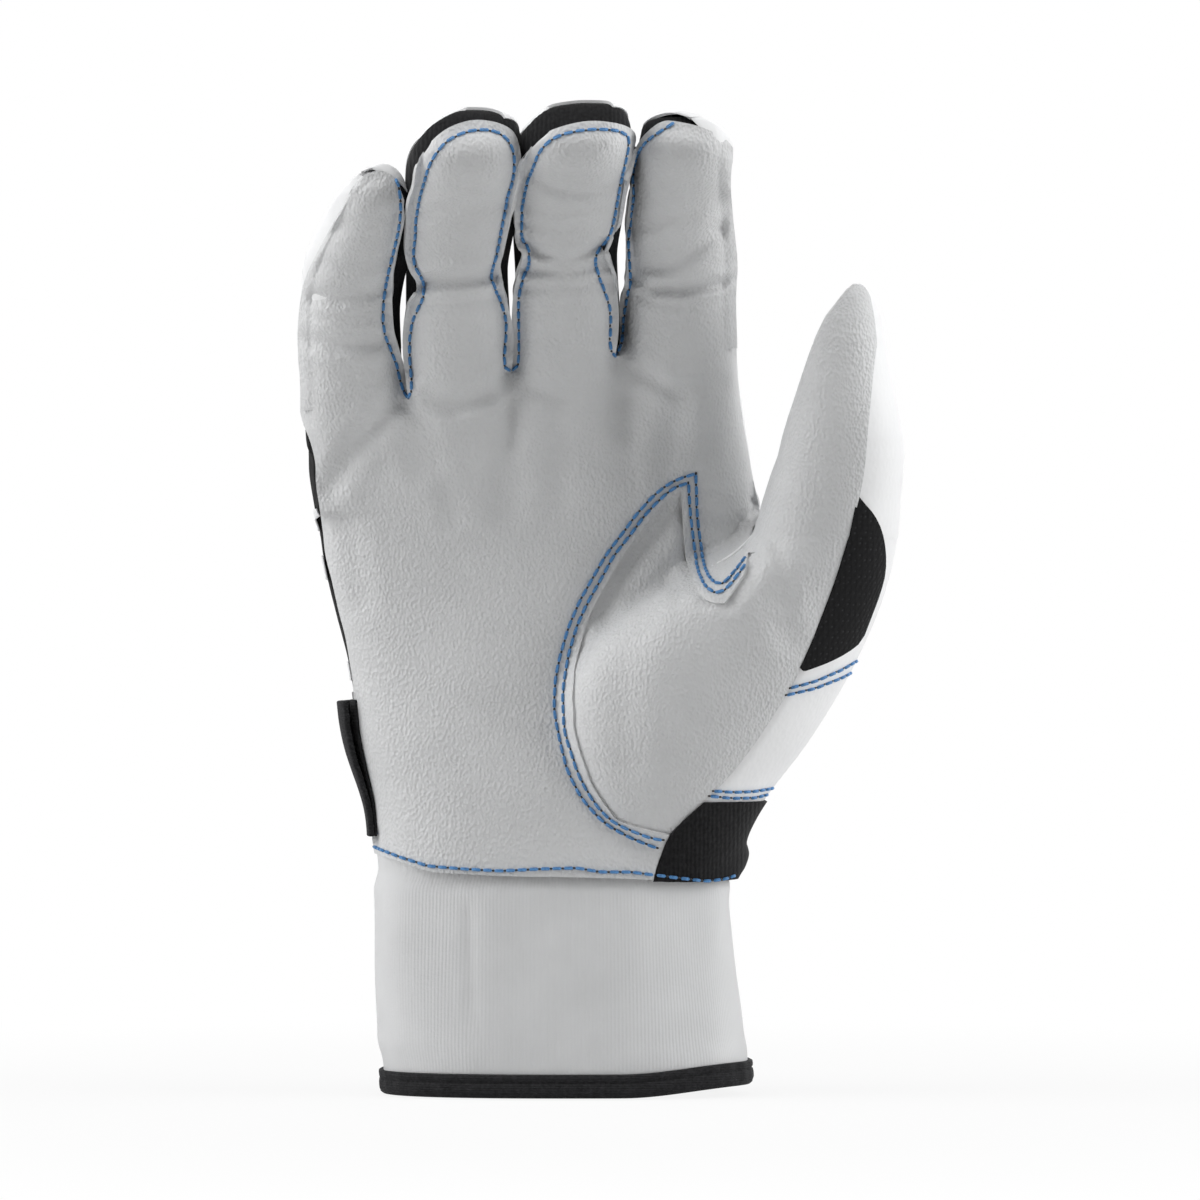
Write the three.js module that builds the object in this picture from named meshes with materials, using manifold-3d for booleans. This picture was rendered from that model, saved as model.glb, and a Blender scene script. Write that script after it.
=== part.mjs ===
// Batting glove for a right hand, palm towards -Y, fingers up +Z, thumb towards +X.
// It stands on its cuff hem, filled as a hand fills it, with the fingers half curled.
// Lengths are millimetres and angles are degrees.
import * as THREE from 'three';
import { mergeVertices } from 'three/addons/utils/BufferGeometryUtils.js';
import Module from 'manifold-3d';

const wasm = await Module();
wasm.setup();

// Materials and seams
const wall = 0.9;
const cuffWall = 1.6;
const seamGap = 0.3;
const layerGap = 0.3;
const patchThickness = 0.8;
const strapThickness = 1.2;
const barThickness = 0.8;
const overrun = 300;
const sideOverrun = 30;
const hollowOverrun = 3;

// The hand from the cuff hem up
const cuffHeight = 47.5;
const palmHeight = 106.7;
const palmFront = 16;
const palmBack = 16;
const knuckleTilt = 11.3;
const slitWidth = 1.4;
const rowShift = -8.9;

// The thumb, measured from the index side of the palm and from the wrist seam
const thumbSpan = 35.4;
const thumbHeight = 123.5;
const thumbDepth = 38;
const thumbFlexLean = 58;
const thumbWedge = 22;
const thumbSeamShare = 0.42;
const thumbBaseShare = 0.579;
const thumbEndShare = 0.7976;

// The cuff and its bound hem
const cuffLeft = 37.4;
const cuffRight = 38.6;
const cuffFront = 20.5;
const cuffBack = 20.5;
const hemHeight = 4.8;
const hemProud = 0.9;
const hemLip = 1.2;

// The wrist strap on the back
const strapRise = 7;
const strapHeight = 29;
const strapReach = 66;
const strapSideY = -5;
const patchReach = 26;
const patchMargin = 4;
const tabLength = 9;
const tabThickness = 1.8;
const anchorDepth = 7;

// Fingers from the little finger to the index finger: widths across, depths from front to
// back, and the three bones from the knuckle, with the lean of each from upright.
const fingers = [
  {
    name: 'pinky', outer: 'left', width: 21.2, depth: 18.6, knuckleDrop: 23.2,
    bones: [46, 17, 15], leans: [24, 42, 53], cut: 25.4, tipLean: 4.2,
    widthShares: [0.98, 1, 0.99, 0.9, 0.95, 0.9, 0.74],
  },
  {
    name: 'ring', outer: 'none', width: 21.4, depth: 20.2, knuckleDrop: 20.2,
    bones: [47, 25, 20], leans: [28, 46, 58], cut: 29.4, tipLean: 2.8,
    widthShares: [0.98, 1, 0.99, 0.8, 0.95, 0.96, 0.76],
  },
  {
    name: 'middle', outer: 'none', width: 21.6, depth: 20.4, knuckleDrop: 18.2,
    bones: [48, 26, 20], leans: [28, 48, 60], cut: 30, tipLean: 2.6,
    widthShares: [0.98, 1, 0.99, 0.79, 0.95, 0.96, 0.8],
  },
  {
    name: 'index', outer: 'right', width: 22.8, depth: 20.4, knuckleDrop: 18.2,
    bones: [45, 25, 20], leans: [26, 44, 57], cut: 29, tipLean: 2,
    widthShares: [0.98, 1, 0.99, 0.93, 0.93, 0.9, 0.74],
  },
];
const bendLengths = [16, 11, 9];
const rootLength = 9;
const tipLength = 9;
const fingerWedge = 26;
const hingeProud = 0.4;
const sidePanelShare = 0.3;
const backPanelShare = 0.36;
const outerRings = { sides: 14, body: 9, tip: 3 };
const innerRings = { sides: 10, body: 7, tip: 2 };
const pathSteps = 400;
const panelSteps = 14;
const palmSides = { outer: 28, inner: 20 };
const thumbSides = { outer: 18, inner: 12 };
const cuffSides = 26;
const depthShares = [1, 1, 0.98, 0.95, 0.92, 0.88, 0.78];

// Shares of the palm's height, its edges beside the outer fingers, and its depth.
const palmShares = [
  { up: 0, left: 0.716, right: 1.03, front: 1.24, back: 1.22 },
  { up: 0.12, left: 0.722, right: 1.03, front: 1.2, back: 1.16 },
  { up: 0.26, left: 0.78, right: 1.03, front: 1.1, back: 1.06 },
  { up: 0.4, left: 0.812, right: 1.04, front: 1, back: 0.98 },
  { up: 0.54, left: 0.88, right: 1.055, front: 0.92, back: 0.92 },
  { up: 0.63, left: 0.918, right: 1.075, front: 0.9, back: 0.88 },
  { up: 0.725, left: 0.938, right: 1.1, front: 0.9, back: 0.8 },
  { up: 0.83, left: 0.962, right: 1.06, front: 0.95, back: 0.64 },
  { up: 0.92, left: 0.99, right: 1.015, front: 1.02, back: 0.42 },
  { up: 1, left: 0.99, right: 0.99, front: 1.08, back: 0.16 },
];
// Shares of the thumb's height, its span across and its depth.
const thumbShares = [
  { up: 0, left: -0.8, right: -0.03, front: -0.46, back: 0.3 },
  { up: 0.11, left: -1, right: 0.15, front: -0.6, back: 0.32 },
  { up: 0.22, left: -1.1, right: 0.43, front: -0.73, back: 0.29 },
  { up: 0.35, left: -0.98, right: 0.7, front: -0.82, back: 0.2 },
  { up: 0.47, left: -0.5, right: 0.88, front: -0.86, back: 0.1 },
  { up: 0.55, left: 0.04, right: 0.95, front: -0.89, back: 0 },
  { up: 0.63, left: 0.18, right: 0.98, front: -0.93, back: -0.14 },
  { up: 0.72, left: 0.27, right: 1, front: -0.98, back: -0.26 },
  { up: 0.8, left: 0.33, right: 0.96, front: -1, back: -0.35 },
  { up: 0.87, left: 0.39, right: 0.91, front: -1, back: -0.43 },
  { up: 0.935, left: 0.48, right: 0.87, front: -0.97, back: -0.53 },
  { up: 0.975, left: 0.58, right: 0.83, front: -0.92, back: -0.61 },
];
// Seams as seen from the front: shares across from the index side of the palm in thumb
// spans, and up from the wrist seam in thumb heights.
const thumbSideShares = [
  [-0.62, -0.02], [-0.43, 0.054], [-0.215, 0.113], [0.082, 0.207], [0.35, 0.326],
  [0.497, 0.428], [0.675, 0.581], [0.746, 0.666], [0.782, 0.768], [0.825, 0.887], [0.853, 1.02],
];
const heelShares = [
  [-0.54, -0.03], [-0.8, 0.06], [-1.0, 0.136], [-1.075, 0.224], [-1.08, 0.295], [-1.045, 0.366],
  [-0.925, 0.462], [-0.72, 0.556], [-0.43, 0.64], [-0.27, 0.676], [-0.262, 0.6], [-0.232, 0.51],
  [-0.14, 0.462], [0.01, 0.512], [0.07, 0.57],
];
const meshShares = [
  [0.43, 0.345], [0.53, 0.42], [0.65, 0.52], [0.74, 0.62], [0.765, 0.655], [0.83, 0.643],
  [0.885, 0.6], [0.885, 0.5], [0.83, 0.43], [0.68, 0.35],
];
const wristKnitShares = [[-0.75, -0.1], [-0.43, 0.054], [-0.215, 0.113], [0.35, 0.113], [0.35, -0.1]];

// The stretch knit on the little-finger side of the back, and the bars across it
const knitMargin = 1.5;
const knitTopShare = 0.886;
const knitReach = 24;
const barShares = [0.079, 0.465, 0.642];
const barWidths = [4, 5.2, 4.6];
const barReach = 17;

const gussetFrontShare = 0.8;
const gussetBackShare = 0.25;
const gussetSink = 2.7;
const wristBackShare = 0.5;
const backSeamY = -3;
const seamFallShare = 0.1;
const seamDrawShare = 0.55;
const seamEndShare = 0.88;
const sectionPower = 2.5;
const thumbPower = 2.15;

const degree = Math.PI / 180;

// A ring of points around a rounded box, from plain extents.
function roundedRing(count, fullness, left, right, front, back, place) {
  const ring = [];
  const power = 2 / fullness;
  for (let i = 0; i < count; i += 1) {
    const turn = (2 * Math.PI * i) / count;
    const across = Math.sign(Math.cos(turn)) * Math.abs(Math.cos(turn)) ** power;
    const through = Math.sign(Math.sin(turn)) * Math.abs(Math.sin(turn)) ** power;
    const x = (left + right) / 2 + (across * (right - left)) / 2;
    const y = (front + back) / 2 + (through * (back - front)) / 2;
    ring.push(place(x, y));
  }
  return ring;
}

// A closed skin over rings of equal count, with a centre point closing each end.
function loft(rings, lastPoint) {
  const count = rings[0].length;
  const points = rings.flat();
  const middleOf = (ring) => ring.reduce((sum, p) => sum.add(p), new THREE.Vector3()).divideScalar(count);
  const firstIndex = points.push(middleOf(rings[0])) - 1;
  const lastIndex = points.push(lastPoint ?? middleOf(rings.at(-1))) - 1;
  const faces = [];
  const lastRing = (rings.length - 1) * count;
  for (let i = 0; i < count; i += 1) {
    const next = (i + 1) % count;
    faces.push(firstIndex, next, i);
    faces.push(lastIndex, lastRing + i, lastRing + next);
    for (let ring = 0; ring < lastRing; ring += count) {
      faces.push(ring + i, ring + next, ring + count + next);
      faces.push(ring + i, ring + count + next, ring + count + i);
    }
  }
  const geometry = new THREE.BufferGeometry().setFromPoints(points);
  geometry.setIndex(faces);
  return solidOf(geometry);
}

function solidOf(geometry) {
  geometry.deleteAttribute('normal');
  geometry.deleteAttribute('uv');
  const merged = mergeVertices(geometry);
  return new wasm.Manifold(new wasm.Mesh({
    numProp: 3,
    vertProperties: new Float32Array(merged.attributes.position.array),
    triVerts: new Uint32Array(merged.index.array),
  }));
}

function box(x0, x1, y0, y1, z0, z1) {
  const geometry = new THREE.BoxGeometry(x1 - x0, y1 - y0, z1 - z0);
  geometry.translate((x0 + x1) / 2, (y0 + y1) / 2, (z0 + z1) / 2);
  return solidOf(geometry);
}

// Everything on the side of a plane that its normal points to.
function halfSpace(point, normal) {
  const geometry = new THREE.BoxGeometry(overrun, overrun, overrun);
  geometry.translate(0, 0, overrun / 2);
  const turn = new THREE.Quaternion().setFromUnitVectors(new THREE.Vector3(0, 0, 1), normal);
  geometry.applyQuaternion(turn);
  geometry.translate(point.x, point.y, point.z);
  return solidOf(geometry);
}

function extrude(points, depth, basis, origin) {
  const shape = new THREE.Shape(points.map(([a, b]) => new THREE.Vector2(a, b)));
  const geometry = new THREE.ExtrudeGeometry(shape, { depth, bevelEnabled: false });
  geometry.applyMatrix4(new THREE.Matrix4().makeBasis(...basis));
  geometry.translate(origin.x, origin.y, origin.z);
  return solidOf(geometry);
}

// An outline in X and Z carried through the whole depth of the hand.
function throughDepth(points) {
  const basis = [new THREE.Vector3(1, 0, 0), new THREE.Vector3(0, 0, 1), new THREE.Vector3(0, -1, 0)];
  return extrude(points, overrun, basis, new THREE.Vector3(0, overrun / 2, 0));
}

// An outline in Y and Z carried through the whole breadth of the hand.
function throughBreadth(points) {
  const basis = [new THREE.Vector3(0, 1, 0), new THREE.Vector3(0, 0, 1), new THREE.Vector3(1, 0, 0)];
  return extrude(points, overrun, basis, new THREE.Vector3(-overrun / 2, 0, 0));
}

function grown(points, by) {
  const area = THREE.ShapeUtils.area(points.map(([a, b]) => new THREE.Vector2(a, b)));
  return points.map(([a, b], i) => {
    const before = points.at(i - 1);
    const after = points[(i + 1) % points.length];
    const along = new THREE.Vector2(after[0] - before[0], after[1] - before[1]).normalize();
    const out = Math.sign(area) * by;
    return [a + along.y * out, b - along.x * out];
  });
}

const largest = (solid) => solid.decompose().sort((a, b) => b.volume() - a.volume())[0];
const union = (solids) => solids.reduce((sum, solid) => sum.add(solid));

// Where each finger stands in the row, from the little-finger side.
const slitsWidth = (fingers.length - 1) * slitWidth;
const rowWidth = fingers.reduce((sum, finger) => sum + finger.width, slitsWidth);
const rowLeft = rowShift - rowWidth / 2;
const rowRight = rowShift + rowWidth / 2;
const palmTop = cuffHeight + palmHeight;
const slopeOfRow = Math.tan(knuckleTilt * degree);

// The centre line of a finger in its own upright plane, walked in small steps.
function fingerPath(finger) {
  const steps = pathSteps;
  const length = finger.bones.reduce((sum, bone) => sum + bone) + rootLength;
  const step = length / steps;
  const bendEnds = [0, finger.bones[0], finger.bones[0] + finger.bones[1]];
  const leanAt = (s) => {
    let lean = 0;
    bendEnds.forEach((bendAt, i) => {
      const rise = finger.leans[i] - (i ? finger.leans[i - 1] : 0);
      const share = THREE.MathUtils.smoothstep(s, bendAt - bendLengths[i] / 2, bendAt + bendLengths[i] / 2);
      lean += rise * share;
    });
    return lean * degree;
  };
  const walk = [{ s: -rootLength, y: 0, z: -rootLength }];
  for (let i = 1; i <= steps; i += 1) {
    const last = walk[i - 1];
    const lean = leanAt(last.s + step / 2);
    walk.push({ s: last.s + step, y: last.y - Math.sin(lean) * step, z: last.z + Math.cos(lean) * step });
  }
  return (s) => {
    const index = THREE.MathUtils.clamp((s + rootLength) / step, 0, steps);
    const low = walk[Math.min(Math.floor(index), steps - 1)];
    const high = walk[Math.min(Math.floor(index), steps - 1) + 1];
    const share = index - Math.min(Math.floor(index), steps - 1);
    const lean = leanAt(s);
    return {
      y: low.y + (high.y - low.y) * share,
      z: low.z + (high.z - low.z) * share,
      along: new THREE.Vector3(0, -Math.sin(lean), Math.cos(lean)),
      back: new THREE.Vector3(0, Math.cos(lean), Math.sin(lean)),
    };
  };
}

function shareAt(shares, share) {
  const place = THREE.MathUtils.clamp(share, 0, 1) * (shares.length - 1);
  const low = Math.min(Math.floor(place), shares.length - 2);
  return shares[low] + (shares[low + 1] - shares[low]) * (place - low);
}

let nextLeft = rowLeft;
fingers.forEach((finger) => {
  finger.x = nextLeft + finger.width / 2;
  nextLeft += finger.width + slitWidth;
  finger.path = fingerPath(finger);
  finger.length = finger.bones.reduce((sum, bone) => sum + bone);
  finger.knuckleHeight = palmTop - finger.knuckleDrop;
});

// A point of the finger: s along it, u across it and d from its centre line to the back.
function fingerPoint(finger, s, u, d) {
  const here = finger.path(s);
  const lean = THREE.MathUtils.smoothstep(s, finger.cut, finger.length) * finger.tipLean;
  return new THREE.Vector3(finger.x + lean + u, here.y, finger.knuckleHeight + here.z)
    .addScaledVector(here.back, d);
}

function fingerSizeAt(finger, s, outset) {
  const share = s / finger.length;
  return {
    half: (finger.width * shareAt(finger.widthShares, share)) / 2 + outset,
    deep: (finger.depth * shareAt(depthShares, share)) / 2 + outset,
  };
}

function fingerLoft(finger, outset) {
  const count = outset < 0 ? innerRings : outerRings;
  const bodyEnd = finger.length - tipLength;
  const rings = [];
  const addRing = (s, half, deep) => {
    const place = (u, d) => fingerPoint(finger, s, u, d);
    rings.push(roundedRing(count.sides, sectionPower, -half, half, -deep, deep, place));
  };
  for (let i = 0; i <= count.body; i += 1) {
    const s = -rootLength + ((bodyEnd + rootLength) * i) / count.body;
    const size = fingerSizeAt(finger, s, outset);
    addRing(s, size.half, size.deep);
  }
  const end = fingerSizeAt(finger, bodyEnd, outset);
  for (let i = 1; i <= count.tip; i += 1) {
    const turn = (i / (count.tip + 1)) * (Math.PI / 2);
    const shrink = Math.cos(turn) ** (2 / sectionPower);
    addRing(bodyEnd + (tipLength + outset) * Math.sin(turn), end.half * shrink, end.deep * shrink);
  }
  return loft(rings, fingerPoint(finger, bodyEnd + tipLength + outset, 0, 0));
}

// All that lies behind a surface that runs along the finger at one depth.
function behindFinger(finger, depth) {
  const steps = panelSteps;
  const points = [];
  for (let i = 0; i <= steps; i += 1) {
    const s = -rootLength + ((finger.length + rootLength + tipLength) * i) / steps;
    const p = fingerPoint(finger, Math.min(s, finger.length), 0, depth);
    const past = Math.max(s - finger.length, 0);
    p.addScaledVector(finger.path(finger.length).along, past);
    points.push([p.y, p.z]);
  }
  const last = points.at(-1);
  points.push([last[0], last[1] + overrun / 2]);
  points.push([points[0][0] + overrun / 2, last[1] + overrun / 2]);
  points.push([points[0][0] + overrun / 2, points[0][1]]);
  return throughBreadth(points);
}

// A hinge on the front skin of a finger, with a wedge left open behind it.
function fingerHinge(finger, s) {
  const here = finger.path(s);
  const size = fingerSizeAt(finger, s, hingeProud);
  const point = fingerPoint(finger, s, 0, -size.deep);
  const lower = here.along.clone().applyAxisAngle(new THREE.Vector3(1, 0, 0), -fingerWedge * degree);
  return hingeCuts(point, here.along, lower);
}

// The parent's side, the child's side and the wedge between, with seam gaps.
function hingeCuts(point, childUp, parentUp) {
  const raised = (normal, by) => point.clone().addScaledVector(normal, by);
  return {
    point,
    parent: halfSpace(raised(parentUp, -seamGap / 2), parentUp.clone().negate()),
    child: halfSpace(raised(childUp, seamGap / 2), childUp),
    wedge: halfSpace(raised(parentUp, seamGap / 2), parentUp)
      .intersect(halfSpace(raised(childUp, -seamGap / 2), childUp.clone().negate())),
    abovePlane: halfSpace(raised(parentUp, -seamGap / 2), parentUp),
  };
}

function palmLoft(outset) {
  const sides = outset < 0 ? palmSides.inner : palmSides.outer;
  const bottom = outset < 0 ? hollowOverrun : 0;
  const rings = palmShares.map((row, i) => {
    const left = rowLeft * row.left - outset;
    const right = rowRight * row.right + outset;
    const front = -palmFront * row.front - outset;
    const back = palmBack * row.back + outset;
    const tilt = slopeOfRow * row.up ** 3;
    const isLast = i === palmShares.length - 1;
    const height = cuffHeight + seamGap / 2 + palmHeight * row.up;
    const shift = isLast ? Math.min(outset, 0) : (i === 0 ? -bottom : 0);
    const place = (x, y) => new THREE.Vector3(x, y, height + tilt * x + shift);
    return roundedRing(sides, sectionPower, left, right, front, back, place);
  });
  return loft(rings);
}

function thumbPlace(row) {
  return {
    left: rowRight + thumbSpan * row.left,
    right: rowRight + thumbSpan * row.right,
    front: thumbDepth * row.front,
    back: thumbDepth * row.back,
    z: cuffHeight + thumbHeight * row.up,
  };
}

function thumbLoft(outset) {
  const sides = outset < 0 ? thumbSides.inner : thumbSides.outer;
  const places = thumbShares.map(thumbPlace);
  const rings = places.map((p) => roundedRing(
    sides, thumbPower, p.left - outset, p.right + outset, p.front - outset, p.back + outset,
    (x, y) => new THREE.Vector3(x, y, p.z),
  ));
  const top = places.at(-1);
  const peakHeight = cuffHeight + thumbHeight + outset;
  const peak = new THREE.Vector3((top.left + top.right) / 2, (top.front + top.back) / 2, peakHeight);
  return loft(rings, peak);
}

// The middle and half sizes of the thumb at one height.
function thumbAt(z) {
  const places = thumbShares.map(thumbPlace);
  const high = Math.max(places.findIndex((p) => p.z > z), 1);
  const share = (z - places[high - 1].z) / (places[high].z - places[high - 1].z);
  const mix = (key) => places[high - 1][key] + (places[high][key] - places[high - 1][key]) * share;
  return {
    x: (mix('left') + mix('right')) / 2,
    y: (mix('front') + mix('back')) / 2,
    half: (mix('right') - mix('left')) / 2,
    deep: (mix('back') - mix('front')) / 2,
  };
}

// The thumb's pad faces the palm and the front, and its hinges lie on the pad side.
const padWay = new THREE.Vector3(-Math.cos(thumbFlexLean * degree), -Math.sin(thumbFlexLean * degree), 0);
const thumbAxis = new THREE.Vector3(-padWay.y, padWay.x, 0);

function thumbHinge(share) {
  const z = cuffHeight + thumbHeight * share;
  const here = thumbAt(z);
  const reach = 1 / Math.hypot(padWay.x / here.half, padWay.y / here.deep) + hingeProud;
  const point = new THREE.Vector3(here.x, here.y, z).addScaledVector(padWay, reach);
  const up = new THREE.Vector3(0, 0, 1);
  const lower = up.clone().applyAxisAngle(thumbAxis, -thumbWedge * degree);
  return hingeCuts(point, up, lower);
}

const fromThumb = (shares) => shares.map(([across, up]) => [
  rowRight + thumbSpan * across,
  cuffHeight + thumbHeight * up,
]);

const glove = new THREE.Group();
const leather = { color: 0xc9cac9, roughness: 0.62 };
const backLeather = { color: 0xeceded, roughness: 0.58 };
const blackKnit = { color: 0x141416, roughness: 0.95 };
const cuffKnit = { color: 0xcfd1d4, roughness: 0.95 };
const binding = { color: 0x18181a, roughness: 0.85 };
const strapRubber = { color: 0x1b1b1d, roughness: 0.6 };

function add(name, solid, look) {
  const mesh = solid.getMesh();
  const geometry = new THREE.BufferGeometry();
  geometry.setAttribute('position', new THREE.BufferAttribute(new Float32Array(mesh.vertProperties), 3));
  geometry.setIndex(new THREE.BufferAttribute(new Uint32Array(mesh.triVerts), 1));
  const part = new THREE.Mesh(geometry, new THREE.MeshStandardMaterial({ ...look, metalness: 0 }));
  part.name = name;
  glove.add(part);
}

// The fingers: each is a shell, cut at its two hinges and along its seams.
const cutLanes = [];
const hinges = [];
fingers.forEach((finger, i) => {
  const shell = fingerLoft(finger, 0).subtract(fingerLoft(finger, -wall));
  const base = fingerHinge(finger, finger.cut);
  const joint = fingerHinge(finger, finger.bones[0]);
  const baseShell = shell.intersect(base.child).intersect(joint.parent);
  const endShell = shell.intersect(joint.child);
  const panel = (share, nudge) => behindFinger(finger, (share * finger.depth) / 2 + nudge);
  const half = seamGap / 2;
  const behindFront = panel(-sidePanelShare, half);
  const notFront = panel(-sidePanelShare, -half);
  const behindBack = panel(backPanelShare, half);
  const notBack = panel(backPanelShare, -half);
  const reach = overrun / 2;
  const leftOf = (x) => box(x - reach, x, -reach, reach, 0, overrun);
  const rightOf = (x) => box(x, x + reach, -reach, reach, 0, overrun);
  const outerSide = finger.outer === 'left' ? leftOf : rightOf;
  const innerSide = finger.outer === 'left' ? rightOf : leftOf;
  const seamSide = finger.x + (finger.outer === 'left' ? seamGap : -seamGap);
  const pieces = [['base', baseShell], ['end', endShell]];
  pieces.forEach(([part, piece]) => {
    const behind = piece.intersect(behindFront);
    add(`${finger.name}_${part}_front`, piece.subtract(notFront), leather);
    if (finger.outer === 'none') {
      add(`${finger.name}_${part}_back`, behind.intersect(behindBack), backLeather);
      const sides = behind.subtract(notBack);
      if (part === 'end') {
        add(`${finger.name}_end_band`, sides, blackKnit);
      } else {
        add(`${finger.name}_base_wall_left`, sides.intersect(leftOf(finger.x)), blackKnit);
        add(`${finger.name}_base_wall_right`, sides.intersect(rightOf(finger.x)), blackKnit);
      }
    } else {
      const backPart = behind.intersect(behindBack.add(outerSide(finger.x)));
      const wallPart = behind.intersect(innerSide(seamSide));
      add(`${finger.name}_${part}_back`, backPart, backLeather);
      add(`${finger.name}_${part}_wall`, wallPart.subtract(notBack), blackKnit);
    }
  });
  add(`${finger.name}_knuckle_knit`, shell.intersect(base.wedge), blackKnit);
  add(`${finger.name}_joint_knit`, shell.intersect(joint.wedge), blackKnit);
  const laneLeft = i === 0 ? finger.x - reach : finger.x - (finger.width + slitWidth) / 2;
  const laneRight = i === fingers.length - 1 ? finger.x + reach : finger.x + (finger.width + slitWidth) / 2;
  const lane = box(laneLeft, laneRight, -reach, reach, 0, overrun);
  cutLanes.push(lane.intersect(base.abovePlane));
  hinges.push({ name: `${finger.name}_base`, point: base.point, axis: new THREE.Vector3(1, 0, 0) });
  hinges.push({ name: `${finger.name}_end`, point: joint.point, axis: new THREE.Vector3(1, 0, 0) });
});

// The hand: palm, thumb and finger roots joined into one shell.
const skin = (outset) => {
  const fingerSkins = fingers.map((finger) => fingerLoft(finger, outset));
  return union([palmLoft(outset), thumbLoft(outset), ...fingerSkins]);
};
const aboveHand = box(-overrun, overrun, -overrun, overrun, cuffHeight + seamGap / 2, overrun);
const wholeShell = skin(0).subtract(skin(-wall)).intersect(aboveHand);

// The thumb above the web, cut at its two hinges and along its seams.
const sideLine = fromThumb(thumbSideShares);
const sideOutline = [
  ...sideLine,
  [rowRight + overrun, sideLine.at(-1)[1]],
  [rowRight + overrun, sideLine[0][1]],
];
const moved = (points, by) => points.map(([x, z]) => [x + by, z]);
const thumbSeamY = -thumbDepth * thumbSeamShare;
const behindY = (y) => box(-overrun / 2, overrun / 2, y, overrun / 2, -overrun, overrun);
const thumbBase = thumbHinge(thumbBaseShare);
const thumbEnd = thumbHinge(thumbEndShare);
const palmBlock = palmLoft(seamGap);
const thumbShell = thumbLoft(0).subtract(thumbLoft(-wall)).subtract(palmBlock);
const meshOutline = fromThumb(meshShares);
const meshRegion = throughDepth(meshOutline).subtract(behindY(thumbSeamY));
const meshHole = throughDepth(grown(meshOutline, seamGap)).subtract(behindY(thumbSeamY + seamGap));
const thumbSide = throughDepth(moved(sideOutline, seamGap / 2)).add(behindY(thumbSeamY + seamGap / 2));
const notThumbSide = throughDepth(moved(sideOutline, -seamGap / 2)).add(behindY(thumbSeamY - seamGap / 2));
const thumbBaseShell = thumbShell.intersect(thumbBase.child).intersect(thumbEnd.parent);
const thumbEndShell = thumbShell.intersect(thumbEnd.child);
add('thumb_base_front', thumbBaseShell.subtract(notThumbSide), leather);
add('thumb_base_back', thumbBaseShell.intersect(thumbSide).subtract(meshHole), backLeather);
add('thumb_end_front', thumbEndShell.subtract(notThumbSide), leather);
add('thumb_end_back', thumbEndShell.intersect(thumbSide), backLeather);
add('thumb_knuckle_knit', largest(thumbShell.intersect(thumbBase.wedge).subtract(meshHole)), blackKnit);
add('thumb_joint_knit', thumbShell.intersect(thumbEnd.wedge), blackKnit);
hinges.push({ name: 'thumb_base', point: thumbBase.point, axis: thumbAxis });
hinges.push({ name: 'thumb_end', point: thumbEnd.point, axis: thumbAxis });

// What stays of the shell below the hinges, cut along its seams.
const thumbZone = thumbBase.abovePlane.intersect(thumbLoft(seamGap)).subtract(palmBlock);
const handShell = wholeShell.subtract(union([...cutLanes, thumbZone]));

const slitRegion = (by) => union(fingers.slice(0, -1).map((finger) => {
  const x = finger.x + (finger.width + slitWidth) / 2;
  const z = palmTop + slopeOfRow * x - gussetSink;
  const reach = slitWidth + wall * 2 + by;
  const front = -palmFront * gussetFrontShare - by;
  const back = palmBack * gussetBackShare + by;
  return box(x - reach, x + reach, front, back, z - by, overrun);
}));
const leftEdge = (solid) => solid.boundingBox().min[0];
const gussets = handShell.intersect(slitRegion(0)).decompose().sort((a, b) => leftEdge(a) - leftEdge(b));
gussets.slice(0, fingers.length - 1).forEach((gusset, i) => add(`slit_gusset_${i + 1}`, gusset, blackKnit));
const openShell = handShell.subtract(slitRegion(seamGap));

// The seam between palm and back, drawn forward where the fingers lean.
const seamRise = fingers[1].knuckleHeight;
const backSeam = (by) => throughBreadth([
  [backSeamY + by, 0],
  [backSeamY + by, seamRise - palmHeight * seamFallShare],
  [backSeamY - palmFront * seamDrawShare + by, palmTop],
  [backSeamY - palmFront * seamEndShare + by, overrun],
  [overrun, overrun],
  [overrun, 0],
]);
const side = throughDepth(moved(sideOutline, seamGap / 2));
const notSide = throughDepth(moved(sideOutline, -seamGap / 2));
const frontShell = openShell.subtract(backSeam(-seamGap / 2)).subtract(notSide);
const backShell = openShell.intersect(backSeam(seamGap / 2)).subtract(notSide);
const sideShell = openShell.intersect(side);
const heelLine = fromThumb(heelShares);
const heelOutline = [
  ...heelLine,
  [rowRight + overrun, heelLine.at(-1)[1]],
  [rowRight + overrun, heelLine[0][1]],
];
add('palm_leather', largest(frontShell.subtract(throughDepth(grown(heelOutline, seamGap)))), leather);
add('thumb_heel_leather', largest(frontShell.intersect(throughDepth(heelOutline))), leather);

const wristKnit = fromThumb(wristKnitShares);
const wristBackY = palmBack * wristBackShare;
const wristRegion = throughDepth(wristKnit).subtract(behindY(wristBackY));
const wristHole = throughDepth(grown(wristKnit, seamGap)).subtract(behindY(wristBackY + seamGap));
add('wrist_gusset', largest(sideShell.intersect(wristRegion)), blackKnit);
add('thumb_mesh_gusset', largest(wholeShell.intersect(meshRegion)), blackKnit);
add('thumb_side_leather', largest(sideShell.subtract(wristHole).subtract(meshHole)), backLeather);

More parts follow.
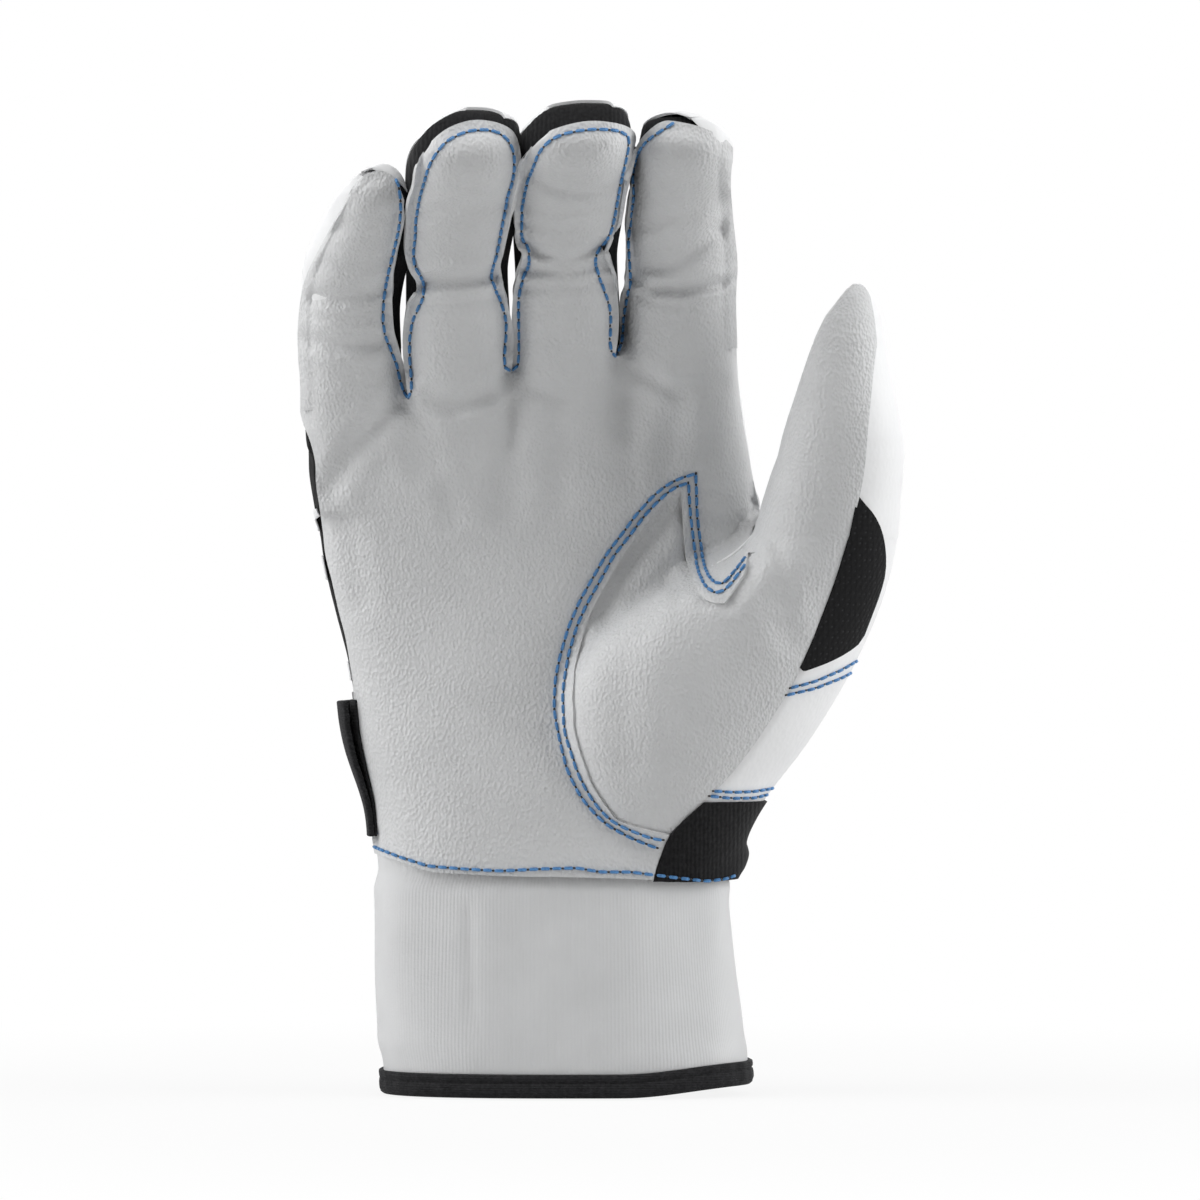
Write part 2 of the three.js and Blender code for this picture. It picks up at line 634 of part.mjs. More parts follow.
const edgeLeft = rowLeft - sideOverrun;
const strapBottom = cuffHeight + strapRise;
const strapTop = strapBottom + strapHeight;
const knitBottom = strapTop + knitMargin;
const knitTop = cuffHeight + palmHeight * knitTopShare;
const knitRight = rowLeft + knitReach;
const knitBlock = (by) => box(edgeLeft, knitRight + by, -overrun, overrun, knitBottom - by, knitTop + by);
add('back_knit', largest(backShell.intersect(knitBlock(0))), blackKnit);
add('back_leather', largest(backShell.subtract(knitBlock(seamGap))), backLeather);
const edgeLoft = (by) => palmLoft(by).add(fingerLoft(fingers[0], by));
const edgeLayer = edgeLoft(layerGap + barThickness).subtract(edgeLoft(layerGap));
const barShell = edgeLayer.intersect(backSeam(seamGap / 2));
barShares.forEach((share, i) => {
  const low = knitBottom + (knitTop - knitBottom) * share - barWidths[i] / 2;
  const bar = box(edgeLeft, rowLeft + barReach, -overrun, overrun, low, low + barWidths[i]);
  add(`back_bar_${i + 1}`, largest(barShell.intersect(bar)), backLeather);
});

// The knit cuff and the binding folded over its lower edge.
function cuffLoft(outset, z0, z1) {
  const top = palmShares[0];
  const ends = [0, 1].map((share) => ({
    left: THREE.MathUtils.lerp(-cuffLeft, rowLeft * top.left, share),
    right: THREE.MathUtils.lerp(cuffRight, rowRight * top.right, share),
    front: THREE.MathUtils.lerp(-cuffFront, -palmFront * top.front, share),
    back: THREE.MathUtils.lerp(cuffBack, palmBack * top.back, share),
  }));
  const rings = [z0, z1].map((z) => {
    const share = z / cuffHeight;
    const at = (key) => THREE.MathUtils.lerp(ends[0][key], ends[1][key], share);
    const left = at('left') - outset;
    const right = at('right') + outset;
    const front = at('front') - outset;
    const back = at('back') + outset;
    const place = (x, y) => new THREE.Vector3(x, y, z);
    return roundedRing(cuffSides, sectionPower, left, right, front, back, place);
  });
  return loft(rings);
}
const cuffTop = cuffHeight - seamGap / 2;
const cuffOuter = (by) => cuffLoft(by, hemLip - by, cuffTop + by);
const cuffHollow = (by) => cuffLoft(-cuffWall - by, -sideOverrun, overrun / 2);
add('cuff', cuffOuter(0).subtract(cuffHollow(0)), cuffKnit);
const hem = cuffLoft(hemProud + layerGap, 0, hemHeight).subtract(cuffHollow(hemProud + layerGap));
add('cuff_binding', hem.subtract(cuffOuter(layerGap).subtract(cuffHollow(layerGap))), binding);

// The strap across the back of the wrist, its anchor on the little-finger side, the loop
// patch on the glove and the hook patch under the strap's end.
const strapLeft = rowLeft * palmShares[1].left;
const strapEnd = strapLeft + strapReach;
const handLoft = (by) => palmLoft(by).add(thumbLoft(by));
const layer = (from, thickness) => handLoft(from + thickness).subtract(handLoft(from));
const hookFrom = layerGap * 2 + patchThickness;
const strapFrom = hookFrom + patchThickness + layerGap;
const patchBottom = strapBottom + patchMargin;
const patchTop = strapTop - patchMargin;
const strapBlock = box(edgeLeft, strapEnd, strapSideY, overrun, strapBottom, strapTop);
const patchBlock = box(strapEnd - patchReach, strapEnd - patchMargin, 0, overrun, patchBottom, patchTop);
add('loop_patch', layer(layerGap, patchThickness).intersect(patchBlock), blackKnit);
add('hook_patch', layer(hookFrom, patchThickness).intersect(patchBlock), binding);
add('wrist_strap', largest(layer(strapFrom, strapThickness).intersect(strapBlock)), strapRubber);
const tabBlock = box(strapEnd + seamGap, strapEnd + tabLength, 0, overrun, patchBottom, patchTop);
add('pull_tab', layer(strapFrom, tabThickness).intersect(tabBlock), strapRubber);
const anchorBlock = box(edgeLeft, strapLeft + anchorDepth, strapSideY, anchorDepth, strapBottom, strapTop);
add('strap_anchor', largest(layer(layerGap, strapFrom - layerGap * 2).intersect(anchorBlock)), binding);
const strapFar = strapFrom + strapThickness;
const strapHingeX = (rowLeft * (palmShares[1].left + palmShares[2].left)) / 2 - strapFar;
const strapHinge = new THREE.Vector3(strapHingeX, strapSideY, strapBottom + strapHeight / 2);
hinges.push({ name: 'strap', point: strapHinge, axis: new THREE.Vector3(0, 0, 1) });

// The glove's own origin is under the middle of its breadth and depth.
const bounds = new THREE.Box3().setFromObject(glove);
const middle = bounds.getCenter(new THREE.Vector3()).setZ(bounds.min.z);
glove.position.copy(middle).negate();
glove.userData.hinges = hinges;

export default glove;
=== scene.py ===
# Batting glove in Blender: leather panels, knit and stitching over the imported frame.
import math

import bmesh
import bpy
import numpy as np
from mathutils import Matrix, Vector
from mathutils.bvhtree import BVHTree
from mathutils.kdtree import KDTree


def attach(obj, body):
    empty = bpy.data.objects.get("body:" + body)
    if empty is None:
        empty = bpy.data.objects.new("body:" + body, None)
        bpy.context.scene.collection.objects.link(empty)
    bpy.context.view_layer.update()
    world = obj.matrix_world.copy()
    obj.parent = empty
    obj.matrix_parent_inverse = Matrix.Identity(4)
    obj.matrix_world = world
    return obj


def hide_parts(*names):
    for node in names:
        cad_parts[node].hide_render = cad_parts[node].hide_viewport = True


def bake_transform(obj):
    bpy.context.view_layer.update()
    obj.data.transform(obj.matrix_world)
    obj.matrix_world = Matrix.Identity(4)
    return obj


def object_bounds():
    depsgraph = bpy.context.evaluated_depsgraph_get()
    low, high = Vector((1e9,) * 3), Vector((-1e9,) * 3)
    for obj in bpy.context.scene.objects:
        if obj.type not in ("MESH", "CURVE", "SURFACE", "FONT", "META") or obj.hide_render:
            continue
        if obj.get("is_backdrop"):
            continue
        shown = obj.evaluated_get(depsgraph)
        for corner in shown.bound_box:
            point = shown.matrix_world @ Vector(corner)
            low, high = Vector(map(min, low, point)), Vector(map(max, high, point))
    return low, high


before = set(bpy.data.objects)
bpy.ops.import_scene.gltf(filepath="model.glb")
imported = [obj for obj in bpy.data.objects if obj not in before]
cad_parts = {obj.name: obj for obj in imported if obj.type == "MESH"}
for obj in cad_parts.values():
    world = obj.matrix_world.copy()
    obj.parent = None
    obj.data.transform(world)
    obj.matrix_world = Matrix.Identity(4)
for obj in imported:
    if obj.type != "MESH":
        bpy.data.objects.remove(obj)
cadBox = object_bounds()
mm = 0.001

# The photograph: one picture point is 0.21 mm in the plane through the origin, which is at
# the middle column and the floor's row.
point = 0.21 * mm
pictureWidth, middleColumn, floorRow = 1200, 599.8, 1098
eye = Vector((0, -1.5, 498 * point))
originShift = Vector((-8.356, 18.975, 0)) * mm


def onPlane(px, py):
    return Vector(((px - middleColumn) * point, 0, (floorRow - py) * point))


def onRay(px, py, y):
    target = onPlane(px, py)
    share = (y - eye.y) / -eye.y
    return eye + (target - eye) * share


def smooth(value, low, high):
    share = min(max((value - low) / (high - low), 0), 1)
    return share * share * (3 - 2 * share)


def seenAs(p):
    # Moves a point sideways so that the near camera sees it where a far one would.
    share = (p.y - eye.y) / -eye.y
    fade = smooth(p.z, 0.05, 0.085)
    moved = Vector((p.x * share, p.y, eye.z + (p.z - eye.z) * share))
    return p.lerp(moved, fade)


def cubic(t, step, a, slopeA, b, slopeB):
    return (
        (2 * t**3 - 3 * t**2 + 1) * a
        + (t**3 - 2 * t**2 + t) * step * slopeA
        + (3 * t**2 - 2 * t**3) * b
        + (t**3 - t**2) * step * slopeB
    )


def curveAt(values, share):
    # A smooth curve through values that stand evenly from 0 to 1.
    place = min(max(share, 0), 1) * (len(values) - 1)
    low = min(int(place), len(values) - 2)
    before = values[max(low - 1, 0)]
    after = values[min(low + 2, len(values) - 1)]
    a, b = values[low], values[low + 1]
    return cubic(place - low, 1, a, (b - before) / 2, b, (after - a) / 2)


class Line:
    # A smooth line through measured points, as x over y or y over x.

    def __init__(self, points, key=1):
        pairs = sorted((p[key], p[1 - key]) for p in points)
        self.at = np.array([p[0] for p in pairs], float)
        self.to = np.array([p[1] for p in pairs], float)
        self.slopes = np.gradient(self.to, self.at)

    def __call__(self, value):
        value = min(max(value, self.at[0]), self.at[-1])
        i = min(max(int(np.searchsorted(self.at, value)) - 1, 0), len(self.at) - 2)
        step = self.at[i + 1] - self.at[i]
        t = (value - self.at[i]) / step
        ends = self.to[i], self.slopes[i], self.to[i + 1], self.slopes[i + 1]
        return float(cubic(t, step, *ends))


# The hand's form, from the same sizes as the CAD solids, in millimetres.
cuffHeight, palmHeight, palmDepth = 47.5, 106.7, 16
rowLeft, rowRight = -54.5, 36.7
thumbSpan, thumbHeight, thumbDepth = 35.4, 123.5, 38
# Each row is (up, left, right, front, back), as shares of these sizes.
palmRows = [
    (0, 0.716, 1.03, 1.24, 1.22),
    (0.12, 0.722, 1.03, 1.2, 1.16),
    (0.26, 0.78, 1.03, 1.1, 1.06),
    (0.4, 0.812, 1.04, 1, 0.98),
    (0.54, 0.88, 1.055, 0.92, 0.92),
    (0.63, 0.918, 1.075, 0.9, 0.88),
    (0.725, 0.938, 1.1, 0.9, 0.8),
    (0.83, 0.962, 1.06, 0.95, 0.64),
    (0.92, 0.99, 1.015, 1.02, 0.42),
    (1, 0.99, 0.99, 1.08, 0.16),
]
thumbRows = [
    (0, -0.8, -0.03, -0.46, 0.3),
    (0.11, -1, 0.15, -0.6, 0.32),
    (0.22, -1.1, 0.43, -0.73, 0.29),
    (0.35, -0.98, 0.7, -0.82, 0.2),
    (0.47, -0.5, 0.88, -0.86, 0.1),
    (0.55, 0.04, 0.95, -0.89, 0),
    (0.63, 0.18, 0.98, -0.93, -0.14),
    (0.72, 0.27, 1, -0.98, -0.26),
    (0.8, 0.33, 0.96, -1, -0.35),
    (0.87, 0.39, 0.91, -1, -0.43),
    (0.935, 0.48, 0.87, -0.97, -0.53),
    (0.975, 0.58, 0.83, -0.92, -0.61),
]
knuckleSlope = math.tan(math.radians(11.3))
# A finger's three bends, its part inside the palm and its rounded end.
bendLengths = (16, 11, 9)
rootLength = 9
tipLength = 9
depthShares = (1, 1, 0.98, 0.95, 0.92, 0.88, 0.78)
# Drop is how far the knuckle lies under the palm's top, leans are in degrees, cut is where the
# finger leaves the palm leather, tipLean how far its end leans aside, and shares its width from
# knuckle to tip. Outer is -1 or 1 at the edge of the hand.
fingers = [
    {
        "name": "pinky", "width": 21.2, "depth": 18.6, "drop": 23.2, "bones": (46, 17, 15),
        "leans": (24, 42, 53), "cut": 25.4, "tipLean": 4.2, "outer": -1,
        "shares": (0.98, 1, 0.99, 0.9, 0.95, 0.92, 0.8),
    },
    {
        "name": "ring", "width": 21.4, "depth": 20.2, "drop": 20.2, "bones": (47, 25, 20),
        "leans": (28, 46, 58), "cut": 29.4, "tipLean": 2.8, "outer": 0,
        "shares": (0.98, 1, 0.99, 0.9, 0.98, 1.02, 0.92),
    },
    {
        "name": "middle", "width": 21.6, "depth": 20.4, "drop": 18.2, "bones": (48, 26, 20),
        "leans": (28, 48, 60), "cut": 30, "tipLean": 2.6, "outer": 0,
        "shares": (0.98, 1, 0.99, 0.9, 0.97, 1.02, 0.94),
    },
    {
        "name": "index", "width": 22.8, "depth": 20.4, "drop": 18.2, "bones": (45, 25, 20),
        "leans": (26, 44, 57), "cut": 29, "tipLean": 2, "outer": 1,
        "shares": (0.98, 1, 0.99, 0.95, 0.96, 0.94, 0.84),
    },
]
nextLeft = rowLeft
for finger in fingers:
    finger["x"] = nextLeft + finger["width"] / 2
    nextLeft += finger["width"] + 1.4
    finger["length"] = sum(finger["bones"])
    finger["knuckle"] = cuffHeight + palmHeight - finger["drop"]


def fingerPath(finger):
    steps = 300
    length = finger["length"] + rootLength
    step = length / steps
    bends = (0, finger["bones"][0], finger["bones"][0] + finger["bones"][1])

    def leanAt(s):
        lean = 0
        for i, bend in enumerate(bends):
            rise = finger["leans"][i] - (finger["leans"][i - 1] if i else 0)
            lean += rise * smooth(s, bend - bendLengths[i] / 2, bend + bendLengths[i] / 2)
        return math.radians(lean)

    walk = [(0.0, -rootLength)]
    for i in range(steps):
        lean = leanAt(-rootLength + (i + 0.5) * step)
        walk.append((walk[-1][0] - math.sin(lean) * step, walk[-1][1] + math.cos(lean) * step))

    def at(s):
        place = min(max((s + rootLength) / step, 0), steps)
        low = min(int(place), steps - 1)
        t = place - low
        y = walk[low][0] + (walk[low + 1][0] - walk[low][0]) * t
        z = walk[low][1] + (walk[low + 1][1] - walk[low][1]) * t
        return y, z, leanAt(s)

    return at


for finger in fingers:
    finger["path"] = fingerPath(finger)

# How far each finger reaches in the photograph: across it to the left and right, and up.
fingers[0]["leftEnd"] = Line([
    (366, 168), (348, 180), (337, 194), (328, 208), (320, 222), (313, 236), (307, 250), (302, 264),
    (301, 278), (299, 306), (297, 334), (298, 362), (300, 390), (301, 418),
])
fingers[0]["rise"] = Line([
    (340, 188), (356, 172), (372, 166), (390, 165), (402, 176), (412, 200),
], 0)
fingers[1]["leftEnd"] = Line([
    (466, 104), (454, 110), (430, 124), (416, 138), (407, 152), (402, 166), (401, 190), (402, 260),
    (402, 420),
])
fingers[1]["rise"] = Line([
    (410, 140), (430, 118), (450, 109), (470, 107), (495, 109), (515, 116), (528, 132),
], 0)
fingers[2]["leftEnd"] = Line([
    (545, 104), (530, 118), (518, 134), (511, 152), (509, 170), (509, 200), (509, 240), (511, 270),
    (512, 420),
])
fingers[2]["rise"] = Line([
    (510, 140), (525, 122), (545, 107), (570, 101), (592, 100), (615, 102), (632, 108), (644, 124),
], 0)
fingers[3]["rightEnd"] = Line([
    (700, 113), (719, 124), (733, 138), (736, 152), (733, 166), (731, 180), (732.5, 208),
    (735.5, 236), (738.5, 264), (736, 292), (736, 334), (737, 362), (742, 418),
])
fingers[3]["rise"] = Line([
    (634, 132), (648, 118), (662, 112), (680, 111), (700, 115), (720, 124), (740, 142),
], 0)


def held(value, limit, soft=0.7 * mm):
    # No more than the limit, and eased towards it.
    over = value - limit
    if over < -soft:
        return value
    if over > soft:
        return limit
    return value - (over + soft) ** 2 / (4 * soft)


def pictured(p):
    share = (p.y - eye.y) / -eye.y
    px = p.x / share / point + middleColumn
    return px, floorRow - (eye.z + (p.z - eye.z) / share) / point, share


# How far the outer leather lies over a finger's own form, in millimetres.
leatherOutset = 0.75


def trimmed(finger, p, outset):
    px, py, share = pictured(p)
    past = (outset - leatherOutset) * mm
    if "leftEnd" in finger:
        limit = (finger["leftEnd"](py) - middleColumn) * point * share - past
        p.x = -held(-p.x, -limit)
    if "rightEnd" in finger:
        limit = (finger["rightEnd"](py) - middleColumn) * point * share + past
        p.x = held(p.x, limit)
    limit = eye.z + ((floorRow - finger["rise"](px)) * point - eye.z) * share + past
    p.z = held(p.z, limit)
    return p


def fingerPoint(finger, s, u, d):
    # In the frame and in metres: s along the finger, u across it, d towards its back.
    y, z, lean = finger["path"](s)
    aside = smooth(s, finger["cut"], finger["length"]) * finger["tipLean"]
    x = finger["x"] + aside + u
    past = max(s - finger["length"], 0)
    y += d * math.cos(lean) - past * math.sin(lean)
    z += finger["knuckle"] + d * math.sin(lean) + past * math.cos(lean)
    return seenAs(Vector((x, y, z)) * mm + originShift)


def sizeAt(finger, s, outset):
    share = s / finger["length"]
    half = finger["width"] * curveAt(finger["shares"], share) / 2 + outset
    deep = finger["depth"] * curveAt(depthShares, share) / 2 + outset
    return half, deep


def sideFit(finger, key, side):
    # How much wider one side of a finger has to be to reach its outline in the photograph.
    if key not in finger:
        return lambda s: 1
    pairs = []
    for i in range(31):
        s = (finger["length"] - tipLength) * i / 30
        half = sizeAt(finger, s, leatherOutset)[0]
        edge = pictured(fingerPoint(finger, s, side * half, 0))
        centre = pictured(fingerPoint(finger, s, 0, 0))
        ratio = (finger[key](edge[1]) - centre[0]) / (edge[0] - centre[0])
        pairs.append((1 + (min(max(ratio, 0.8), 1.35) - 1) * smooth(s, 0, 8), s))
    return Line(pairs)


for finger in fingers:
    finger["leftFit"] = sideFit(finger, "leftEnd", -1)
    finger["rightFit"] = sideFit(finger, "rightEnd", 1)


def fitted(finger, s, u):
    return u * finger["leftFit" if u < 0 else "rightFit"](s)


def onRing(turn, fullness, half, deep):
    power = 2 / fullness
    across = math.copysign(abs(math.cos(turn)) ** power, math.cos(turn))
    through = math.copysign(abs(math.sin(turn)) ** power, math.sin(turn))
    return across * half, through * deep


# The share of a finger's rows that its body has, the rest makes its rounded end.
fingerBody = 0.86


def fingerSkin(finger, along, turn, outset):
    # along runs from the root, 0, over the body to the tip of the rounded end, 1.
    bodyEnd = finger["length"] - tipLength
    if along <= fingerBody:
        s = -rootLength + (bodyEnd + rootLength) * along / fingerBody
        half, deep = sizeAt(finger, s, outset)
        u, d = onRing(turn, 2.4, half, deep)
        p = fingerPoint(finger, s, fitted(finger, s, u), d)
        return trimmed(finger, p, outset) if s > 0 else p
    bend = (along - fingerBody) / (1 - fingerBody) * math.pi / 2
    half, deep = sizeAt(finger, bodyEnd, outset)
    shrink = max(math.cos(bend), 0) ** 0.6
    s = bodyEnd + (tipLength + outset) * math.sin(bend)
    u, d = onRing(turn, 2.4, half * shrink, deep * shrink)
    return trimmed(finger, fingerPoint(finger, s, fitted(finger, bodyEnd, u), d), outset)


def makeObject(name, mesh, look=None):
    obj = bpy.data.objects.new(name, mesh)
    bpy.context.scene.collection.objects.link(obj)
    if look:
        obj.data.materials.append(look)
    return obj


def gridMesh(name, columns, rows, place, look=None, closed=False, facing=None):
    # A grid whose points are put by place(column share, row share).
    bm = bmesh.new()
    bmesh.ops.create_grid(bm, x_segments=columns, y_segments=rows, size=1)
    for vert in bm.verts:
        vert.co = place((vert.co.x + 1) / 2, (vert.co.y + 1) / 2)
    if closed:
        bmesh.ops.remove_doubles(bm, verts=bm.verts, dist=1e-6)
        bmesh.ops.recalc_face_normals(bm, faces=bm.faces)
    if facing:
        bm.normal_update()
        total = sum((face.normal * face.calc_area() for face in bm.faces), Vector())
        if total.dot(Vector(facing)) < 0:
            bmesh.ops.reverse_faces(bm, faces=bm.faces)
    return finishMesh(name, bm, look)


def finishMesh(name, bm, look=None):
    for face in bm.faces:
        face.smooth = True
    mesh = bpy.data.meshes.new(name)
    bm.to_mesh(mesh)
    bm.free()
    return makeObject(name, mesh, look)


def applyAll(obj):
    graph = bpy.context.evaluated_depsgraph_get()
    mesh = bpy.data.meshes.new_from_object(obj.evaluated_get(graph))
    obj.modifiers.clear()
    obj.data = mesh
    mesh.name = obj.name
    return obj


def treeOf(obj):
    bm = bmesh.new()
    bm.from_mesh(obj.data)
    tree = BVHTree.FromBMesh(bm)
    bm.free()
    return tree


def ringLoft(name, rows, sides, fullness, place):
    # A closed skin over rows of (left, right, front, back, height).

    def skin(a, b):
        i = min(round(b * (len(rows) + 1)), len(rows) + 1)
        row = rows[min(max(i - 1, 0), len(rows) - 1)]
        left, right, front, back, height = row
        x, y = onRing(a * 2 * math.pi, fullness, (right - left) / 2, (back - front) / 2)
        inside = 0 if i in (0, len(rows) + 1) else 1
        return place((left + right) / 2 + x * inside, (front + back) / 2 + y * inside, height)

    return gridMesh(name, sides, len(rows) + 1, skin, closed=True)


def steady(rows, count):
    # The same rows, smoothed and evenly filled in.
    table = np.array(rows, float)
    ups = np.linspace(table[0, 0], table[-1, 0], count)
    lines = [Line(list(zip(table[:, k], table[:, 0]))) for k in range(1, 5)]
    return [(up, *(line(up) for line in lines)) for up in ups]


thumbLeft = Line([
    (866, 282), (855, 286), (843, 297), (830, 314), (819, 336), (813, 352), (797, 400),
    (784.5, 440), (781, 478),
])


def makeHandForm():
    def place(x, y, z):
        tilt = knuckleSlope * max((z - cuffHeight) / palmHeight, 0) ** 3
        return seenAs(Vector((x, y, z + tilt * x)) * mm + originShift)

    palm = [
        (rowLeft * left, rowRight * right, -palmDepth * front, palmDepth * back,
         cuffHeight + palmHeight * up)
        for up, left, right, front, back in steady(palmRows, 24)
    ]
    palm = [(*palm[0][:4], cuffHeight - 4)] + palm
    parts = [ringLoft("palmForm", palm, 56, 2.5, place)]
    thumb = [
        (rowRight + thumbSpan * left, rowRight + thumbSpan * right, thumbDepth * front,
         thumbDepth * back, cuffHeight + thumbHeight * up)
        for up, left, right, front, back in steady(thumbRows, 30)
    ]
    top = thumb[-1]
    middle, depth = (top[0] + top[1]) / 2, (top[2] + top[3]) / 2
    for turn, rise in ((0.8, 1.3), (0.5, 2.4)):
        thumb.append((
            middle + (top[0] - middle) * turn, middle + (top[1] - middle) * turn,
            depth + (top[2] - depth) * turn, depth + (top[3] - depth) * turn, top[4] + rise,
        ))

    def straight(x, y, z):
        p = seenAs(Vector((x, y, z)) * mm + originShift)
        _, py, share = pictured(p)
        limit = (thumbLeft(py) - middleColumn) * point * share
        p.x -= (held(-p.x, -limit) + p.x) * (1 - smooth(py, 440, 478))
        return p

    parts.append(ringLoft("thumbForm", thumb, 64, 2.15, straight))
    onlyThumb = treeOf(parts[-1])
    rootShare = 0.36
    for finger in fingers:
        parts.append(gridMesh(
            finger["name"] + "Root", 32, 24,
            lambda a, b: fingerSkin(finger, rootShare * b, a * 2 * math.pi, -0.4), closed=True,
        ))
    for part in parts:
        closeEnds(part)
    return joined("handForm", parts), onlyThumb


handLeft = Line([
    (301, 418), (302, 422), (305.4, 445), (309.5, 481.6), (313.6, 506), (317.7, 530.6),
    (321.3, 555), (326.4, 580.6), (334, 612), (340, 636.7), (345.8, 663), (348.7, 681.6),
    (350.7, 698), (356, 740), (362, 768), (369, 796), (372, 820), (373, 850),
])


def trimHand(obj):
    for vert in obj.data.vertices:
        px, py, share = pictured(vert.co)
        if py > 405 and px < 500:
            limit = (handLeft(py) - middleColumn) * point * share
            shift = -held(-vert.co.x, -limit) - vert.co.x
            vert.co.x += shift * smooth(py, 405, 425)
    return obj


def closeEnds(obj):
    bm = bmesh.new()
    bm.from_mesh(obj.data)
    bmesh.ops.holes_fill(bm, edges=[e for e in bm.edges if e.is_boundary], sides=0)
    bmesh.ops.recalc_face_normals(bm, faces=bm.faces)
    bm.to_mesh(obj.data)
    bm.free()


def joined(name, parts):
    bm = bmesh.new()
    for part in parts:
        bm.from_mesh(part.data)
        bpy.data.objects.remove(part)
    return finishMesh(name, bm)


def remeshed(obj, voxel, rounds):
    mod = obj.modifiers.new("remesh", "REMESH")
    mod.mode = "VOXEL"
    mod.voxel_size = voxel
    mod.use_smooth_shade = True
    soft = obj.modifiers.new("smooth", "SMOOTH")
    soft.factor = 0.5
    soft.iterations = rounds
    return applyAll(obj)


handForm, thumbTree = makeHandForm()
handForm = trimHand(remeshed(handForm, voxel=1.3 * mm, rounds=10))
handTree = treeOf(handForm)
fingerTrees = {}
for finger in fingers:
    tube = gridMesh(
        finger["name"] + "Form", 48, 90,
        lambda a, b: fingerSkin(finger, b, a * 2 * math.pi, 0.35), closed=True,
    )
    fingerTrees[finger["name"]] = treeOf(tube)
    bpy.data.objects.remove(tube)
print("forms ready", len(handForm.data.polygons))


def blendedMin(a, b, reach):
    near = max(reach - abs(a - b), 0) / reach
    return min(a, b) - near * near * reach / 4


def depthHit(px, py, names):
    way = (onPlane(px, py) - eye).normalized()
    depth = None
    for tree in [handTree, thumbTree] + [fingerTrees[name] for name in names]:
        hit = tree.ray_cast(eye, way)[0]
        if hit and depth is None:
            depth = hit.y
        elif hit:
            sharp = tree == thumbTree
            depth = min(depth, hit.y) if sharp else blendedMin(depth, hit.y, 3 * mm)
    return depth


def depthSeen(px, py, names, core=None):
    # How deep the form lies behind a point of the photograph. Past its outline, the depth of
    # the outline counts, found on the way to the core point.
    depth = depthHit(px, py, names)
    if depth is not None:
        return depth
    core = core or (540, py)
    reach = math.dist((px, py), core)
    step = min(1.5 / max(reach, 1e-6), 1)
    last, share = 0, step
    while share <= 1:
        if depthHit(px + (core[0] - px) * share, py + (core[1] - py) * share, names) is not None:
            break
        last, share = share, share + step
    for _ in range(5):
        half = (last + share) / 2
        if depthHit(px + (core[0] - px) * half, py + (core[1] - py) * half, names) is None:
            last = half
        else:
            share = half
    depth = depthHit(px + (core[0] - px) * share, py + (core[1] - py) * share, names)
    return 0.0 if depth is None else depth


def webDepth(px, py, names, core):
    # The depth, evened out over the web between the palm and the thumb.
    depth = depthSeen(px, py, names, core)
    share = smooth(px, 664, 684) * (1 - smooth(px, 742, 768))
    share *= smooth(py, 505, 530) * (1 - smooth(py, 620, 652))
    if share <= 0:
        return depth
    total = depth
    for reach in (8, 16):
        for k in range(6):
            turn = k * math.pi / 3 + reach
            beside = (px + reach * math.cos(turn), py + reach * math.sin(turn))
            total += depthSeen(*beside, names, core)
    return depth + (total / 13 - depth) * share


# Materials
def nodeOf(tree, kind, **values):
    node = tree.nodes.new(kind)
    for key, value in values.items():
        if key in node.inputs:
            node.inputs[key].default_value = value
        else:
            setattr(node, key, value)
    return node


def bare(name, color, roughness, **more):
    look = bpy.data.materials.new(name)
    look.use_nodes = True
    tree = look.node_tree
    shader = tree.nodes["Principled BSDF"]
    shader.inputs["Base Color"].default_value = (*color, 1)
    shader.inputs["Roughness"].default_value = roughness
    for key, value in more.items():
        shader.inputs[key.replace("_", " ")].default_value = value
    return look, tree, shader


def noiseOver(tree, place, size, detail=3.0, roughness=0.55):
    noise = nodeOf(tree, "ShaderNodeTexNoise", Scale=1 / size, Detail=detail, Roughness=roughness)
    tree.links.new(place, noise.inputs["Vector"])
    return noise


def shaded(tree, shader, fac, dark, light):
    ramp = tree.nodes.new("ShaderNodeValToRGB")
    ramp.color_ramp.elements[0].position = 0.3
    ramp.color_ramp.elements[1].position = 0.72
    ramp.color_ramp.elements[0].color = (*dark, 1)
    ramp.color_ramp.elements[1].color = (*light, 1)
    tree.links.new(fac, ramp.inputs["Fac"])
    tree.links.new(ramp.outputs["Color"], shader.inputs["Base Color"])
    return ramp


def bumped(tree, shader, bumps):
    # Each bump is (height socket, distance in metres, strength).
    last = None
    for height, distance, strength in bumps:
        bump = nodeOf(tree, "ShaderNodeBump", Strength=strength, Distance=distance)
        tree.links.new(height, bump.inputs["Height"])
        if last:
            tree.links.new(last.outputs["Normal"], bump.inputs["Normal"])
        last = bump
    tree.links.new(last.outputs["Normal"], shader.inputs["Normal"])


